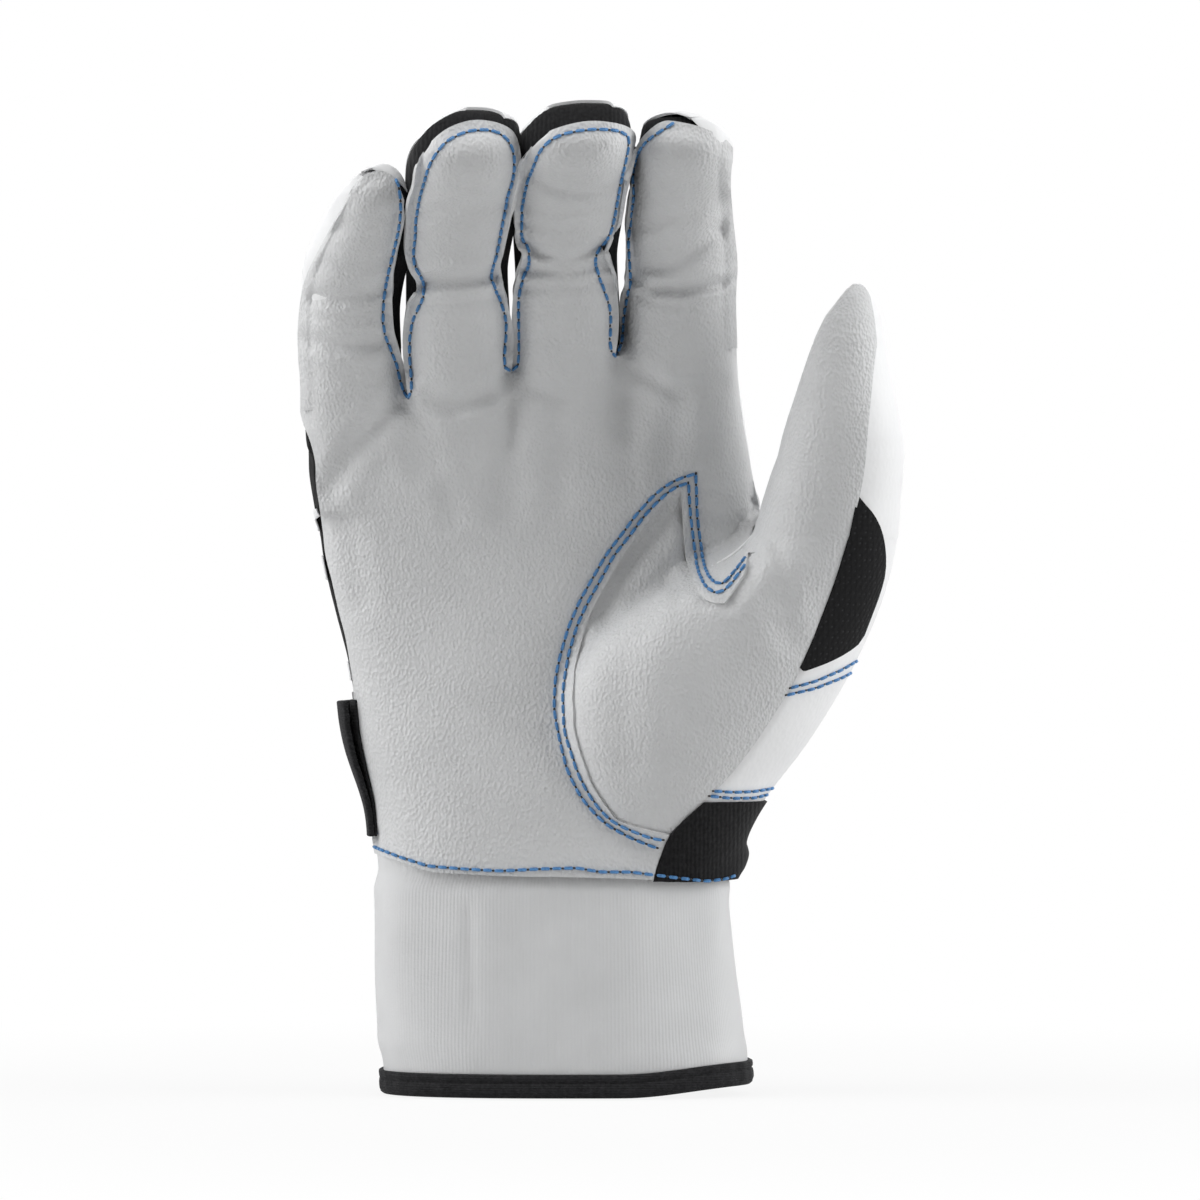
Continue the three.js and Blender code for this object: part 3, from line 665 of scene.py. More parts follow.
def leatherLook(name, dark, light, grain, pebble=0.16, fold=0.5):
    look, tree, shader = bare(name, light, 0.55, Sheen_Weight=0.08)
    place = tree.nodes.new("ShaderNodeTexCoord").outputs["Object"]
    cells = nodeOf(tree, "ShaderNodeTexVoronoi", Scale=1 / grain, feature="SMOOTH_F1")
    cells.inputs["Smoothness"].default_value = 0.25
    longer = tree.nodes.new("ShaderNodeMapping")
    longer.inputs["Scale"].default_value = (1, 1, 0.75)
    stretch = noiseOver(tree, place, 6 * mm, 2)
    mixed = nodeOf(tree, "ShaderNodeMix", data_type="VECTOR")
    mixed.inputs["Factor"].default_value = 0.0012
    tree.links.new(place, mixed.inputs[4])
    tree.links.new(stretch.outputs["Color"], mixed.inputs[5])
    tree.links.new(mixed.outputs[1], longer.inputs["Vector"])
    tree.links.new(longer.outputs["Vector"], cells.inputs["Vector"])
    folds = noiseOver(tree, place, 9 * mm, 1.5, 0.4)
    patches = noiseOver(tree, place, 22 * mm, 2, 0.5)
    shaded(tree, shader, patches.outputs["Fac"], dark, light)
    bumped(tree, shader, [
        (folds.outputs["Fac"], 0.9 * mm, fold),
        (cells.outputs["Distance"], pebble * mm, 0.9),
    ])
    return look


def knitLook(name, color, pitch, across=True):
    look, tree, shader = bare(name, color, 0.9, Specular_IOR_Level=0.15, Sheen_Weight=0.03)
    place = tree.nodes.new("ShaderNodeTexCoord").outputs["Object"]
    ribs = nodeOf(tree, "ShaderNodeTexWave", Scale=0.314 / pitch, Distortion=1.5, Detail=1.0)
    ribs.bands_direction = "X" if across else "Z"
    ribs.inputs["Detail Scale"].default_value = 2
    tree.links.new(place, ribs.inputs["Vector"])
    loops = nodeOf(tree, "ShaderNodeTexVoronoi", Scale=1 / pitch)
    tree.links.new(place, loops.inputs["Vector"])
    fuzz = noiseOver(tree, place, 0.8 * mm, 3)
    light = tuple(min(c * 1.9 + 0.006, 1) for c in color)
    shaded(tree, shader, fuzz.outputs["Fac"], color, light)
    bumped(tree, shader, [
        (ribs.outputs["Fac"], 0.12 * mm, 0.8),
        (loops.outputs["Distance"], 0.1 * mm, 0.6),
    ])
    return look


def meshLook(name, color, pitch):
    # Open air mesh: rows of small holes with a lighter yarn between them.
    look, tree, shader = bare(name, color, 0.8, Specular_IOR_Level=0.15)
    place = tree.nodes.new("ShaderNodeTexCoord").outputs["Object"]
    holes = nodeOf(tree, "ShaderNodeTexVoronoi", Scale=1 / pitch, Randomness=0.25)
    tree.links.new(place, holes.inputs["Vector"])
    light = tuple(c * 4.5 for c in color)
    ramp = shaded(tree, shader, holes.outputs["Distance"], light, color)
    ramp.color_ramp.elements[0].position = 0.05
    ramp.color_ramp.elements[1].position = 0.3
    bumped(tree, shader, [(holes.outputs["Distance"], 0.3 * mm, 0.8)])
    return look


def ribLook(name, dark, light, pitch):
    # Ribs run up the piece, counted by its own attribute of metres around.
    look, tree, shader = bare(name, light, 0.85, Sheen_Weight=0.2, Sheen_Roughness=0.5)
    around = nodeOf(tree, "ShaderNodeAttribute", attribute_name="around")
    turns = nodeOf(tree, "ShaderNodeMath", operation="MULTIPLY")
    turns.inputs[1].default_value = 2 * math.pi / pitch
    tree.links.new(around.outputs["Fac"], turns.inputs[0])
    ribs = nodeOf(tree, "ShaderNodeMath", operation="SINE")
    tree.links.new(turns.outputs[0], ribs.inputs[0])
    place = tree.nodes.new("ShaderNodeTexCoord").outputs["Object"]
    fuzz = noiseOver(tree, place, 0.7 * mm, 3)
    waves = noiseOver(tree, place, 16 * mm, 2)
    shaded(tree, shader, waves.outputs["Fac"], dark, light)
    bumped(tree, shader, [
        (fuzz.outputs["Fac"], 0.08 * mm, 0.6),
        (ribs.outputs[0], 0.03 * mm, 0.6),
    ])
    return look


def threadLook(name, color):
    look, tree, shader = bare(name, color, 0.5, Sheen_Weight=0.2)
    place = tree.nodes.new("ShaderNodeTexCoord").outputs["Object"]
    twist = nodeOf(tree, "ShaderNodeTexWave", Scale=900.0, bands_direction="DIAGONAL")
    tree.links.new(place, twist.inputs["Vector"])
    bumped(tree, shader, [(twist.outputs["Fac"], 0.05 * mm, 0.7)])
    strands = noiseOver(tree, place, 0.5 * mm, 2)
    shaded(tree, shader, strands.outputs["Fac"], tuple(c * 0.75 for c in color), color)
    return look


def mouldedLook(name, color, roughness):
    look, tree, shader = bare(name, color, roughness)
    place = tree.nodes.new("ShaderNodeTexCoord").outputs["Object"]
    fine = noiseOver(tree, place, 0.6 * mm, 4)
    broad = noiseOver(tree, place, 9 * mm, 2)
    shaded(tree, shader, broad.outputs["Fac"], color, tuple(c * 1.5 for c in color))
    bumped(tree, shader, [(fine.outputs["Fac"], 0.05 * mm, 0.5)])
    return look


looks = {
    "palm_leather": leatherLook(
        "palmLeather", (0.575, 0.58, 0.585), (0.64, 0.645, 0.65), 0.64 * mm, 0.22, 0.15,
    ),
    "back_leather": leatherLook(
        "backLeather", (0.78, 0.785, 0.79), (0.84, 0.845, 0.85), 1.2 * mm, 0.05, 0.2,
    ),
    "black_knit": knitLook("blackKnit", (0.006, 0.006, 0.0065), 0.9 * mm),
    "air_mesh": meshLook("airMesh", (0.006, 0.006, 0.0065), 1.15 * mm),
    "cuff_knit": ribLook("cuffKnit", (0.63, 0.635, 0.64), (0.69, 0.695, 0.7), 0.62 * mm),
    "binding": knitLook("binding", (0.012, 0.012, 0.013), 0.5 * mm, False),
    "strap_webbing": knitLook("strapWebbing", (0.013, 0.013, 0.014), 0.7 * mm, False),
    "tab_rubber": mouldedLook("tabRubber", (0.018, 0.018, 0.02), 0.45),
    "hook_and_loop": knitLook("hookAndLoop", (0.012, 0.012, 0.013), 0.45 * mm),
    "stitch_thread": threadLook("blueThread", (0.07, 0.27, 0.6)),
}
# Black look for the pieces at the needle holes: painted shade of the holes.
paintedHoleShade = threadLook("paintedHoleShade", (0.01, 0.01, 0.012))


def settle(obj, slot, body=None, blend=None, replaces=()):
    # Gives a finished piece its look, then its body, or, where a bend is given, only bakes its
    # place; and hides the parts it stands for.
    if not obj.data.materials:
        obj.data.materials.append(looks[slot])
    if blend:
        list(blend)
        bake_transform(obj)
    else:
        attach(obj, body)
    if replaces:
        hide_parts(*replaces)
    return obj


def thickened(obj, thickness):
    # Thicker towards its inside.
    mod = obj.modifiers.new("thickness", "SOLIDIFY")
    mod.thickness = thickness
    mod.offset = -1
    return applyAll(obj)


# Sewn layers. Each starts as its outer face. Where two meet, their edges share one shading,
# and then each gets its thickness inwards.
layers = []


def layer(obj, slot, thickness, body=None, blend=None, replaces=()):
    layers.append({
        "obj": obj, "slot": slot, "thickness": thickness, "body": body, "blend": blend,
        "replaces": replaces,
    })
    return obj


def finishLayers(reach=0.8 * mm):
    tree = KDTree(sum(len(item["obj"].data.vertices) for item in layers))
    owners = []
    for number, item in enumerate(layers):
        mesh = item["obj"].data
        item["normals"] = [v.normal.copy() for v in mesh.vertices]
        for vert in mesh.vertices:
            tree.insert(vert.co, len(owners))
            owners.append((number, vert.index))
    tree.balance()
    for number, item in enumerate(layers):
        mesh = item["obj"].data
        bm = bmesh.new()
        bm.from_mesh(mesh)
        border = [v.index for v in bm.verts if v.is_boundary]
        bm.free()
        changed = {}
        for index in border:
            own = item["normals"][index]
            for co, found, gap in tree.find_range(mesh.vertices[index].co, reach):
                other, there = owners[found]
                normal = layers[other]["normals"][there]
                if other != number and normal.dot(own) > 0.5:
                    changed[index] = (own + normal).normalized()
                    break
        item["changed"] = changed
    for item in layers:
        for index, normal in item["changed"].items():
            item["normals"][index] = normal
    for item in layers:
        obj, normals = item["obj"], item["normals"]
        count = len(normals)
        thickened(obj, item["thickness"])
        mesh = obj.data
        corners = []
        for face in mesh.polygons:
            outer = [v < count for v in face.vertices]
            for v in face.vertices:
                if all(outer):
                    corners.append(normals[v])
                elif not any(outer):
                    corners.append(-normals[v - count])
                else:
                    corners.append(face.normal.copy())
        mesh.normals_split_custom_set(corners)
        settle(obj, item["slot"], item["body"], item["blend"], item["replaces"])


# Rows of the photograph where the palm's panels begin or end.
footEdge, gussetTop, forkRow, webTop, crotchRow = 880, 835, 603, 522, 491
# Where each finger's own pieces begin: the line through the bottoms of the slits.
splitLine = Line([
    (296, 412), (352, 404), (408, 398), (460, 384), (511, 371), (563, 362), (615, 356), (680, 351),
    (745, 348),
], 0)
palmLeft = Line([
    (374, 880), (372, 850), (373, 838), (372, 810), (369, 796), (364, 768), (358, 740), (355, 712),
    (353.5, 698), (352.5, 681.6), (349.5, 663), (345, 636.7), (338.6, 612), (331.5, 580.6),
    (325.4, 556), (322.5, 530.6), (319.3, 508), (315.6, 481.6), (315, 463), (313.2, 453),
    (309, 438), (303, 422), (300, 410), (299, 390),
])
palmRight = Line([
    (762, 522), (758, 502), (754, 484), (746, 440), (742, 418), (739, 390), (737, 362), (736, 334),
])
webEdge = Line([
    (762, 522), (756, 532), (751, 540), (748, 552), (746, 562), (744, 572), (737, 584), (729, 596),
    (724, 603),
])
heelEdge = Line([
    (681, 491), (672, 496), (664, 502), (652, 516), (642, 530), (631, 544), (621, 558), (613, 572),
    (605, 586), (597, 600), (590, 614), (585, 628), (581, 642), (577, 656), (574, 670), (573, 684),
    (572, 698), (573, 712), (573, 726), (576, 740), (580, 754), (585, 768), (590, 782), (598, 796),
    (608, 810), (624, 824), (650, 831), (669, 835),
])
gussetLeft = Line([(669, 835), (665, 846), (660, 857), (656, 868), (653, 880)])
branchEdge = Line([
    (681, 491), (682, 500), (684, 536), (687, 562), (690, 574), (694, 583), (698, 591), (702, 596),
    (708, 601), (714, 603),
])
palmFoot = Line([
    (370, 852), (400, 862), (428, 871), (464, 874), (500, 876), (560, 877), (600, 878), (657, 880),
], 0)


def distanceTo(path, px, py):
    # The distance in photograph points to a line of points.
    best = None
    for (ax, ay), (bx, by) in zip(path, path[1:]):
        dx, dy = bx - ax, by - ay
        t = min(max(((px - ax) * dx + (py - ay) * dy) / max(dx * dx + dy * dy, 1e-6), 0), 1)
        gap = math.hypot(px - ax - dx * t, py - ay - dy * t)
        if best is None or gap < best:
            best = gap
    return best


def foldShape(gap):
    # A fold with a slight swelling beside it.
    return math.exp(-gap * gap) - 0.3 * math.exp(-((gap - 1.9) ** 2) / 0.7)


def traced(line, low, high, count, key=1):
    pairs = []
    for i in range(count + 1):
        value = low + (high - low) * i / count
        pairs.append((line(value), value) if key == 1 else (value, line(value)))
    return pairs


# Folds and hollows in the palm leather: a line, its depth in mm and its width in points.
creases = [
    ([(398, 402), (376, 424), (352, 452), (330, 486)], 0.5, 11),
    ([(512, 376), (512, 410), (510, 440)], 0.4, 10),
    ([(512, 400), (510, 450), (506, 510)], 0.25, 14),
    ([(616, 362), (621, 396), (626, 430)], 0.35, 11),
    ([(620, 400), (627, 440), (630, 480)], 0.25, 14),
    ([(409, 404), (414, 440), (422, 470)], 0.35, 12),
    ([(430, 396), (455, 404), (485, 396)], 0.5, 9),
    ([(640, 372), (676, 392), (720, 384)], 0.4, 8),
    ([(530, 388), (560, 398), (596, 386)], 0.35, 8),
    ([(705, 556), (722, 550), (738, 538)], 0.18, 5),
    ([(718, 574), (732, 560), (742, 552)], 0.14, 4),
    ([(700, 520), (724, 530), (744, 524)], 0.2, 7),
    ([(398, 402), (420, 412), (450, 408), (484, 392), (511, 376)], 0.35, 9),
    ([(430, 430), (440, 470), (452, 520)], 0.2, 9),
    ([(560, 400), (562, 450), (560, 500)], 0.2, 12),
    ([(680, 400), (672, 440), (660, 470)], 0.25, 12),
    ([(330, 500), (352, 540), (362, 600)], 0.2, 12),
    ([(304, 338), (334, 346), (372, 342)], 0.35, 8),
    ([(640, 292), (690, 288), (735, 280)], 0.45, 6),
    ([(640, 262), (690, 240), (732, 212)], 0.5, 11),
    ([(644, 300), (690, 306), (730, 294)], 0.3, 6),
]


def creased(px, py):
    sunk = 0
    for path, depth, width in creases:
        if min(p[0] for p in path) - 40 < px < max(p[0] for p in path) + 40:
            if min(p[1] for p in path) - 40 < py < max(p[1] for p in path) + 40:
                sunk += depth * foldShape(distanceTo(path, px, py) / width)
    return 2.2 * sunk * mm


names = [finger["name"] for finger in fingers]
rawEdge = (
    traced(heelEdge, gussetTop, crotchRow, 50) + traced(branchEdge, crotchRow, forkRow, 24)
    + traced(webEdge, forkRow, 540, 12)
)
palmSizes = {
    "thickness": 0.85 * mm, "rise": 0.9 * mm,
    "outerSeam": 17, "innerSeam": 9, "seamWidth": 3.2, "seamDepth": 0.22 * mm,
}


def palmDepthAt(px, py):
    depth = webDepth(px, py, names, (min(max(px, 400), 680), py)) + creased(px, py)
    gap = distanceTo(rawEdge, px, py)
    seam = sum(
        math.exp(-(((gap - palmSizes[key]) / palmSizes["seamWidth"]) ** 2))
        for key in ("outerSeam", "innerSeam")
    )
    rise = palmSizes["rise"] * (0.85 + 0.3 * smooth(gap, 16, 40))
    return depth - rise + palmSizes["seamDepth"] * seam


def palmPoint(px, py):
    return onRay(px, py, palmDepthAt(px, py))


def weldedSkin(name, parts, gap):
    # Grids of palm leather made one skin that faces the viewer.
    obj = joined(name, parts)
    bm = bmesh.new()
    bm.from_mesh(obj.data)
    bmesh.ops.remove_doubles(bm, verts=bm.verts, dist=gap)
    bmesh.ops.recalc_face_normals(bm, faces=bm.faces)
    if sum((face.normal for face in bm.faces), Vector()).y > 0:
        bmesh.ops.reverse_faces(bm, faces=bm.faces)
    bm.to_mesh(obj.data)
    bm.free()
    obj.data.materials.append(looks["palm_leather"])
    return obj


def makePalm():
    # The palm leather: beside the thumb's heel, above it, and its tongue at the web.
    leftColumns, rightColumns = 62, 24
    mainRows, upperRows, tongueRows = 104, 40, 32
    top = crotchRow
    corner = heelEdge(top)

    def main(a, b):
        py = footEdge + (top - footEdge) * b
        right = heelEdge(py) if py < gussetTop else gussetLeft(py)
        px = palmLeft(py) + (right - palmLeft(py)) * a
        return palmPoint(px, py + (palmFoot(px) - footEdge) * (1 - b) ** 6)

    def upper(a, b, low, high):
        # From low to high along the row at the main part's top.
        foot = low + (high - low) * a
        py = top + (splitLine(foot) - top) * b
        share = (foot - palmLeft(top)) / (palmRight(top) - palmLeft(top))
        px = palmLeft(py) + (palmRight(py) - palmLeft(py)) * share
        py = top + (splitLine(px) - top) * b
        return palmPoint(px, py)

    def tongue(a, b):
        py = top + (forkRow - top) * b
        right = palmRight(py) if py < webTop else webEdge(py)
        px = branchEdge(py) + (right - branchEdge(py)) * a
        return palmPoint(px, py)

    parts = [
        gridMesh("palmMain", leftColumns, mainRows, main),
        gridMesh(
            "palmUpper", leftColumns, upperRows, lambda a, b: upper(a, b, palmLeft(top), corner),
        ),
        gridMesh(
            "palmUpperRight", rightColumns, upperRows,
            lambda a, b: upper(a, b, corner, palmRight(top)),
        ),
        gridMesh("palmTongue", rightColumns, tongueRows, tongue),
    ]
    obj = weldedSkin("palm_leather_skin", parts, 0.06 * mm)
    return layer(obj, "palm_leather", palmSizes["thickness"], "hand", replaces=["palm_leather"])


palm = makePalm()
print("palm ready", len(palm.data.polygons))


# The fingers' front panels, by their cut edges in the photograph: left side and right side
# from the slit up, then the tip from left to right.
panels = {
    "pinky": {
        "left": [
            (300, 412), (300, 380), (298, 362), (297, 334), (299, 306), (303, 284), (309, 268),
            (322, 243), (335, 219), (346, 198),
        ],
        "right": [
            (408, 398), (407, 378), (403, 362), (398, 346), (394, 334), (392, 306), (392, 285),
            (394, 264), (400, 236), (403, 216), (404, 200),
        ],
        "tip": [
            (346, 198), (354, 184), (364, 175), (376, 170), (388, 172), (397, 180), (404, 200),
        ],
    },
    "ring": {
        "left": [
            (408, 398), (405, 376), (402, 350), (403, 323), (408, 304), (416, 295), (418, 288),
            (416, 281), (409, 272), (405, 258), (405, 240), (406, 221), (408, 202), (414, 188),
            (415, 172), (419, 158),
        ],
        "right": [
            (511, 371), (514, 352), (514, 334), (511, 318), (504, 292), (499, 279), (499, 267),
            (507, 233), (512, 206), (515, 192), (519, 172), (521, 156),
        ],
        "tip": [
            (419, 158), (426, 147), (436, 136), (450, 126), (472, 119), (494, 121), (511, 128),
            (518, 139), (521, 156),
        ],
    },
    "middle": {
        "left": [
            (511, 371), (511, 352), (511, 330), (512, 308), (514, 286), (520, 268), (523, 257),
            (520, 247), (515, 233), (514, 210), (515, 190), (519, 170), (526, 154),
        ],
        "right": [
            (615, 356), (618, 340), (619, 318), (618, 298), (615, 280), (609, 266), (603, 256),
            (607, 245), (618, 228), (620, 206), (623, 192), (624, 182), (624, 172),
        ],
        "tip": [
            (526, 154), (537, 138), (554, 128), (586, 120), (613, 122), (630, 127), (637, 135),
            (634, 150), (624, 172),
        ],
    },
    "index": {
        "left": [
            (615, 356), (617, 330), (619, 304), (623, 289), (627, 274), (626, 255), (625, 231),
            (628, 211), (630, 194), (629, 175), (630, 160),
        ],
        "right": [
            (737.2, 348), (736.8, 334), (736, 310), (736, 290), (738, 264), (735, 236), (732, 208),
            (730.5, 187), (731, 172), (733, 158), (733, 148),
        ],
        "tip": [
            (630, 160), (637, 144), (646, 132), (662, 120), (676, 121), (700, 126), (719, 135),
            (728, 141), (733, 148),
        ],
    },
}
fingerCreases = {
    "pinky": [
        ([(304, 296), (340, 300), (390, 286)], 0.6, 7),
        ([(318, 262), (350, 268), (392, 258)], 0.25, 7),
        ([(330, 222), (362, 228), (396, 216)], 0.25, 8),
        ([(302, 340), (340, 346), (390, 342)], 0.3, 8),
    ],
    "ring": [
        ([(418, 285), (440, 281), (470, 279), (498, 274)], 1.3, 7),
        ([(424, 214), (460, 208), (506, 205)], 0.4, 6),
        ([(416, 304), (450, 300), (500, 298)], 0.35, 7),
        ([(416, 246), (460, 244), (500, 246)], 0.15, 9),
    ],
    "middle": [
        ([(522, 240), (540, 254), (562, 260), (586, 254), (604, 243)], 1.1, 5),
        ([(524, 270), (560, 270), (604, 266)], 0.9, 6),
        ([(530, 176), (548, 186), (578, 194), (604, 190), (622, 178)], 0.8, 5),
        ([(520, 206), (560, 212), (616, 204)], 0.3, 6),
        ([(524, 224), (560, 230), (612, 218)], 0.25, 5),
        ([(520, 288), (560, 283), (610, 285)], 0.3, 6),
    ],
    "index": [
        ([(734, 216), (706, 244), (676, 262), (640, 272)], 0.6, 8),
        ([(634, 280), (660, 288), (682, 292), (706, 288), (735, 280)], 0.8, 5),
        ([(650, 225), (690, 214), (728, 190)], 0.3, 8),
        ([(640, 250), (680, 240), (730, 226)], 0.2, 6),
    ],
}


def along(path, share):
    lengths = [math.dist(a, b) for a, b in zip(path, path[1:])]
    left = share * sum(lengths)
    for (a, b), length in zip(zip(path, path[1:]), lengths):
        if left <= length or b is path[-1]:
            t = min(left / length, 1) if length else 0
            return a[0] + (b[0] - a[0]) * t, a[1] + (b[1] - a[1]) * t
        left -= length
    return path[-1]


def softened(path, rounds=2):
    # The same line with its corners cut, its ends kept.
    for _ in range(rounds):
        cut = [path[0]]
        for a, b in zip(path, path[1:]):
            cut.append((a[0] * 0.75 + b[0] * 0.25, a[1] * 0.75 + b[1] * 0.25))
            cut.append((a[0] * 0.25 + b[0] * 0.75, a[1] * 0.25 + b[1] * 0.75))
        path = cut + [path[-1]]
    return path


# Lengths, lips and widths are in points of the photograph, the rest in millimetres.
panelSizes = {
    "length": 240, "lip": 8.5, "outerLip": 13, "pillowWidth": 11, "pillow": 0.75, "edge": 0.25,
    "panel": 0.7, "backing": 0.6, "knit": 0.5,
}
for name, panel in panels.items():
    panel["left"] = softened(panel["left"])
    panel["right"] = softened(panel["right"])
    panel["tip"] = softened(panel["tip"])
    panel["foot"] = traced(splitLine, panel["left"][0][0], panel["right"][0][0], 12, 0)
    panel["raw"] = panel["left"] + panel["tip"] + panel["right"][::-1]


def patchPoint(panel, a, b):
    # A point inside the four sides of a panel, as the sides bend it.
    left, right = along(panel["left"], b), along(panel["right"], b)
    foot, tip = along(panel["foot"], a), along(panel["tip"], a)
    corners = (panel["left"][0], panel["right"][0], panel["left"][-1], panel["right"][-1])
    return tuple(
        left[k] * (1 - a) + right[k] * a + foot[k] * (1 - b) + tip[k] * b
        - (corners[0][k] * (1 - a) * (1 - b) + corners[1][k] * a * (1 - b)
           + corners[2][k] * (1 - a) * b + corners[3][k] * a * b)
        for k in (0, 1)
    )


def sunkIn(folds, px, py):
    sunk = 0
    for path, depth, width in folds:
        sunk += depth * foldShape(distanceTo(path, px, py) / width)
    return 1.9 * sunk * mm


def edgeEven(a):
    return 0.55 * a + 0.45 * (0.5 - 0.5 * math.cos(math.pi * a))


def panelPoint(finger, a, b):
    name = finger["name"]
    panel = panels[name]
    a = edgeEven(a)
    px, py = patchPoint(panel, a, b)
    left, right = along(panel["left"], b), along(panel["right"], b)
    span = math.dist(left, right)
    lipShare = panelSizes["lip"] / span
    outerShare = panelSizes["outerLip"] / span
    lowA = outerShare if finger["outer"] < 0 else lipShare
    highA = 1 - (outerShare if finger["outer"] > 0 else lipShare)
    innerA = min(max(a, lowA), highA)
    innerB = min(b, 1 - panelSizes["lip"] / panelSizes["length"])
    sx, sy = patchPoint(panel, innerA, innerB)
    near = 1 - smooth(splitLine(sx) - sy, 6, 34)
    core = patchPoint(panel, 0.5, min(b, 0.8))
    depth = depthSeen(sx, sy, [name], core)
    if near > 0:
        depth += (depthSeen(sx, sy, names, core) - depth) * near
    beyond = math.hypot(px - sx, py - sy) * point
    fromSeam = max(distanceTo(panel["raw"], sx, sy) - panelSizes["lip"], 0)
    pillow = panelSizes["pillow"] * (1 - math.exp(-fromSeam / panelSizes["pillowWidth"]))
    pillow = (pillow + panelSizes["edge"]) * mm
    pillow += (palmSizes["rise"] * 1.15 - pillow) * near
    inner = 1
    if finger["outer"] < 0:
        inner = smooth(px - left[0], 2, 16)
    if finger["outer"] > 0:
        inner = smooth(right[0] - px, 2, 16)
    depth += sunkIn(fingerCreases[name], px, py) * inner + creased(px, py)
    curl = 0.3 * beyond
    if (finger["outer"] < 0 and a < lowA) or (finger["outer"] > 0 and a > highA):
        curl = 0.4 * beyond + 0.3 * beyond * beyond / mm
    return onRay(px, py, depth - pillow + curl)


def fingerPlace(finger, s):
    return fingerPoint(finger, s, 0, 0)


def bends(finger):
    # The two bends of a finger as blends, and the place between them.
    name, cut, joint = finger["name"], finger["cut"], finger["bones"][0]
    middle = (cut + joint) / 2
    start = fingerPlace(finger, cut - 4.4)
    first = ("hand", f"{name}_base", start, fingerPlace(finger, middle - 1.2))
    second = (
        f"{name}_base", f"{name}_end",
        fingerPlace(finger, middle + 1.2), fingerPlace(finger, joint + 8),
    )
    return first, second, middle


def backSpread(finger, share):
    # From where to where, in degrees round the finger, its white back reaches.
    start, end = 14 + 12 * smooth(share, 0.7, 0.86), 166 - 12 * smooth(share, 0.7, 0.86)
    if finger["outer"] < 0:
        end = 214 + 32 * smooth(share, 0.42, 0.56)
        start -= 50 * smooth(share, 0.84, 0.9)
    if finger["outer"] > 0:
        start = -34 - 16 * smooth(share, 0.8, 0.9)
    return start, end


def makeFinger(finger):
    name = finger["name"]
    first, second, middle = bends(finger)
    bodyEnd = finger["length"] - tipLength

    def toAlong(s):
        return (s + rootLength) / (bodyEnd + rootLength) * fingerBody

    half = toAlong(middle)
    frontRow = 0.3
    for _ in range(12):
        here = panelPoint(finger, 0.5, frontRow)
        target = fingerPoint(finger, middle, 0, -sizeAt(finger, middle, 0)[1])
        frontRow += (target.z - here.z) / mm / 60
    # Each part's bend, its reach along the finger, the panel's rows, the backing's reach and
    # the panel's fineness.
    ends = {
        "base": (
            first, toAlong(finger["cut"] - 13), half, (0, frontRow),
            (toAlong(finger["cut"] + 2), half), 34,
        ),
        "end": (
            second, half, 1, (frontRow, 1), (half, 1 if finger["outer"] else 0.95), 66,
        ),
    }
    for part, (bend, low, high, rows, reach, count) in ends.items():
        own = [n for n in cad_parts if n.startswith(f"{name}_{part}")]
        own.append(f"{name}_knuckle_knit" if part == "base" else f"{name}_joint_knit")

        def tubePoint(a, b, low=low, high=high):
            turn = a * 2 * math.pi
            share = low + (high - low) * b
            sunk = 1.6 * smooth(-math.sin(turn), 0.2, 0.75) * (1 - smooth(share, 0.78, 0.88))
            sunk += 0.7 * smooth(math.cos(turn) * finger["outer"], 0.5, 0.9)
            sunk += 0.6 * smooth(share, 0.9, 0.97) * abs(finger["outer"])
            return fingerSkin(finger, share, turn, 0.1 - sunk)

        side = gridMesh(
            f"{name}_{part}_sides", 60, 60, tubePoint, closed=True, look=looks["black_knit"],
        )
        layer(side, "black_knit", panelSizes["knit"] * mm, blend=bend, replaces=own)

        def frontPoint(a, b, rows=rows):
            return panelPoint(finger, a, rows[0] + (rows[1] - rows[0]) * b)

        front = gridMesh(
            f"{name}_{part}_panel", 44, count, frontPoint, look=looks["palm_leather"],
            facing=(0, -1, 0),
        )
        layer(front, "palm_leather", panelSizes["panel"] * mm, blend=bend)
        finger[f"{part}Panel"] = front
        finger[f"{part}Bend"] = bend

        def backPoint(a, b, reach=reach):
            share = reach[0] + (reach[1] - reach[0]) * b
            start, end = backSpread(finger, share)
            edge = math.exp(-a * 14) + math.exp(-(1 - a) * 14)
            turn = start + (end - start) * a
            # Where the palm leather's panel covers it, the backing lies lower.
            covered, deep = 0, 0
            if finger["outer"] < 0:
                belowJoint = 1 - smooth(share, 0.44, 0.56)
                covered = min(smooth(turn, 150, 178) * belowJoint + smooth(turn, 186, 210), 1)
                deep = smooth(turn, 186, 200) * belowJoint
            if finger["outer"] > 0:
                covered = smooth(-turn, -30, 0) * (1 - 0.6 * smooth(share, 0.84, 0.9))
                deep = smooth(-turn, 6, 20) * (1 - smooth(share, 0.8, 0.88))
            outset = leatherOutset - 0.35 * edge * (1 - covered) - 0.6 * covered - 1.1 * deep
            return fingerSkin(finger, share, math.radians(turn), outset)

        backing = gridMesh(
            f"{name}_{part}_backing", 50, 50, backPoint, closed=True, look=looks["back_leather"],
            facing=(0, 1, 0.4),
        )
        layer(backing, "back_leather", panelSizes["backing"] * mm, blend=bend)


for finger in fingers:
    makeFinger(finger)
print("fingers ready")


# Rays from outside towards the middle of the hand or thumb, for what wraps round them.
def wrapPoint(height, turn, middle, lift, far=0.12, tree=None):
    way = Vector((math.cos(turn), math.sin(turn), 0))
    centre = Vector((middle[0], middle[1], height))
    hit, normal = (tree or handTree).ray_cast(centre + way * far, -way)[:2]
    if hit is None or (hit - centre).dot(way) < 0:
        return centre + way * (0.01 + lift)
    return hit + normal * lift


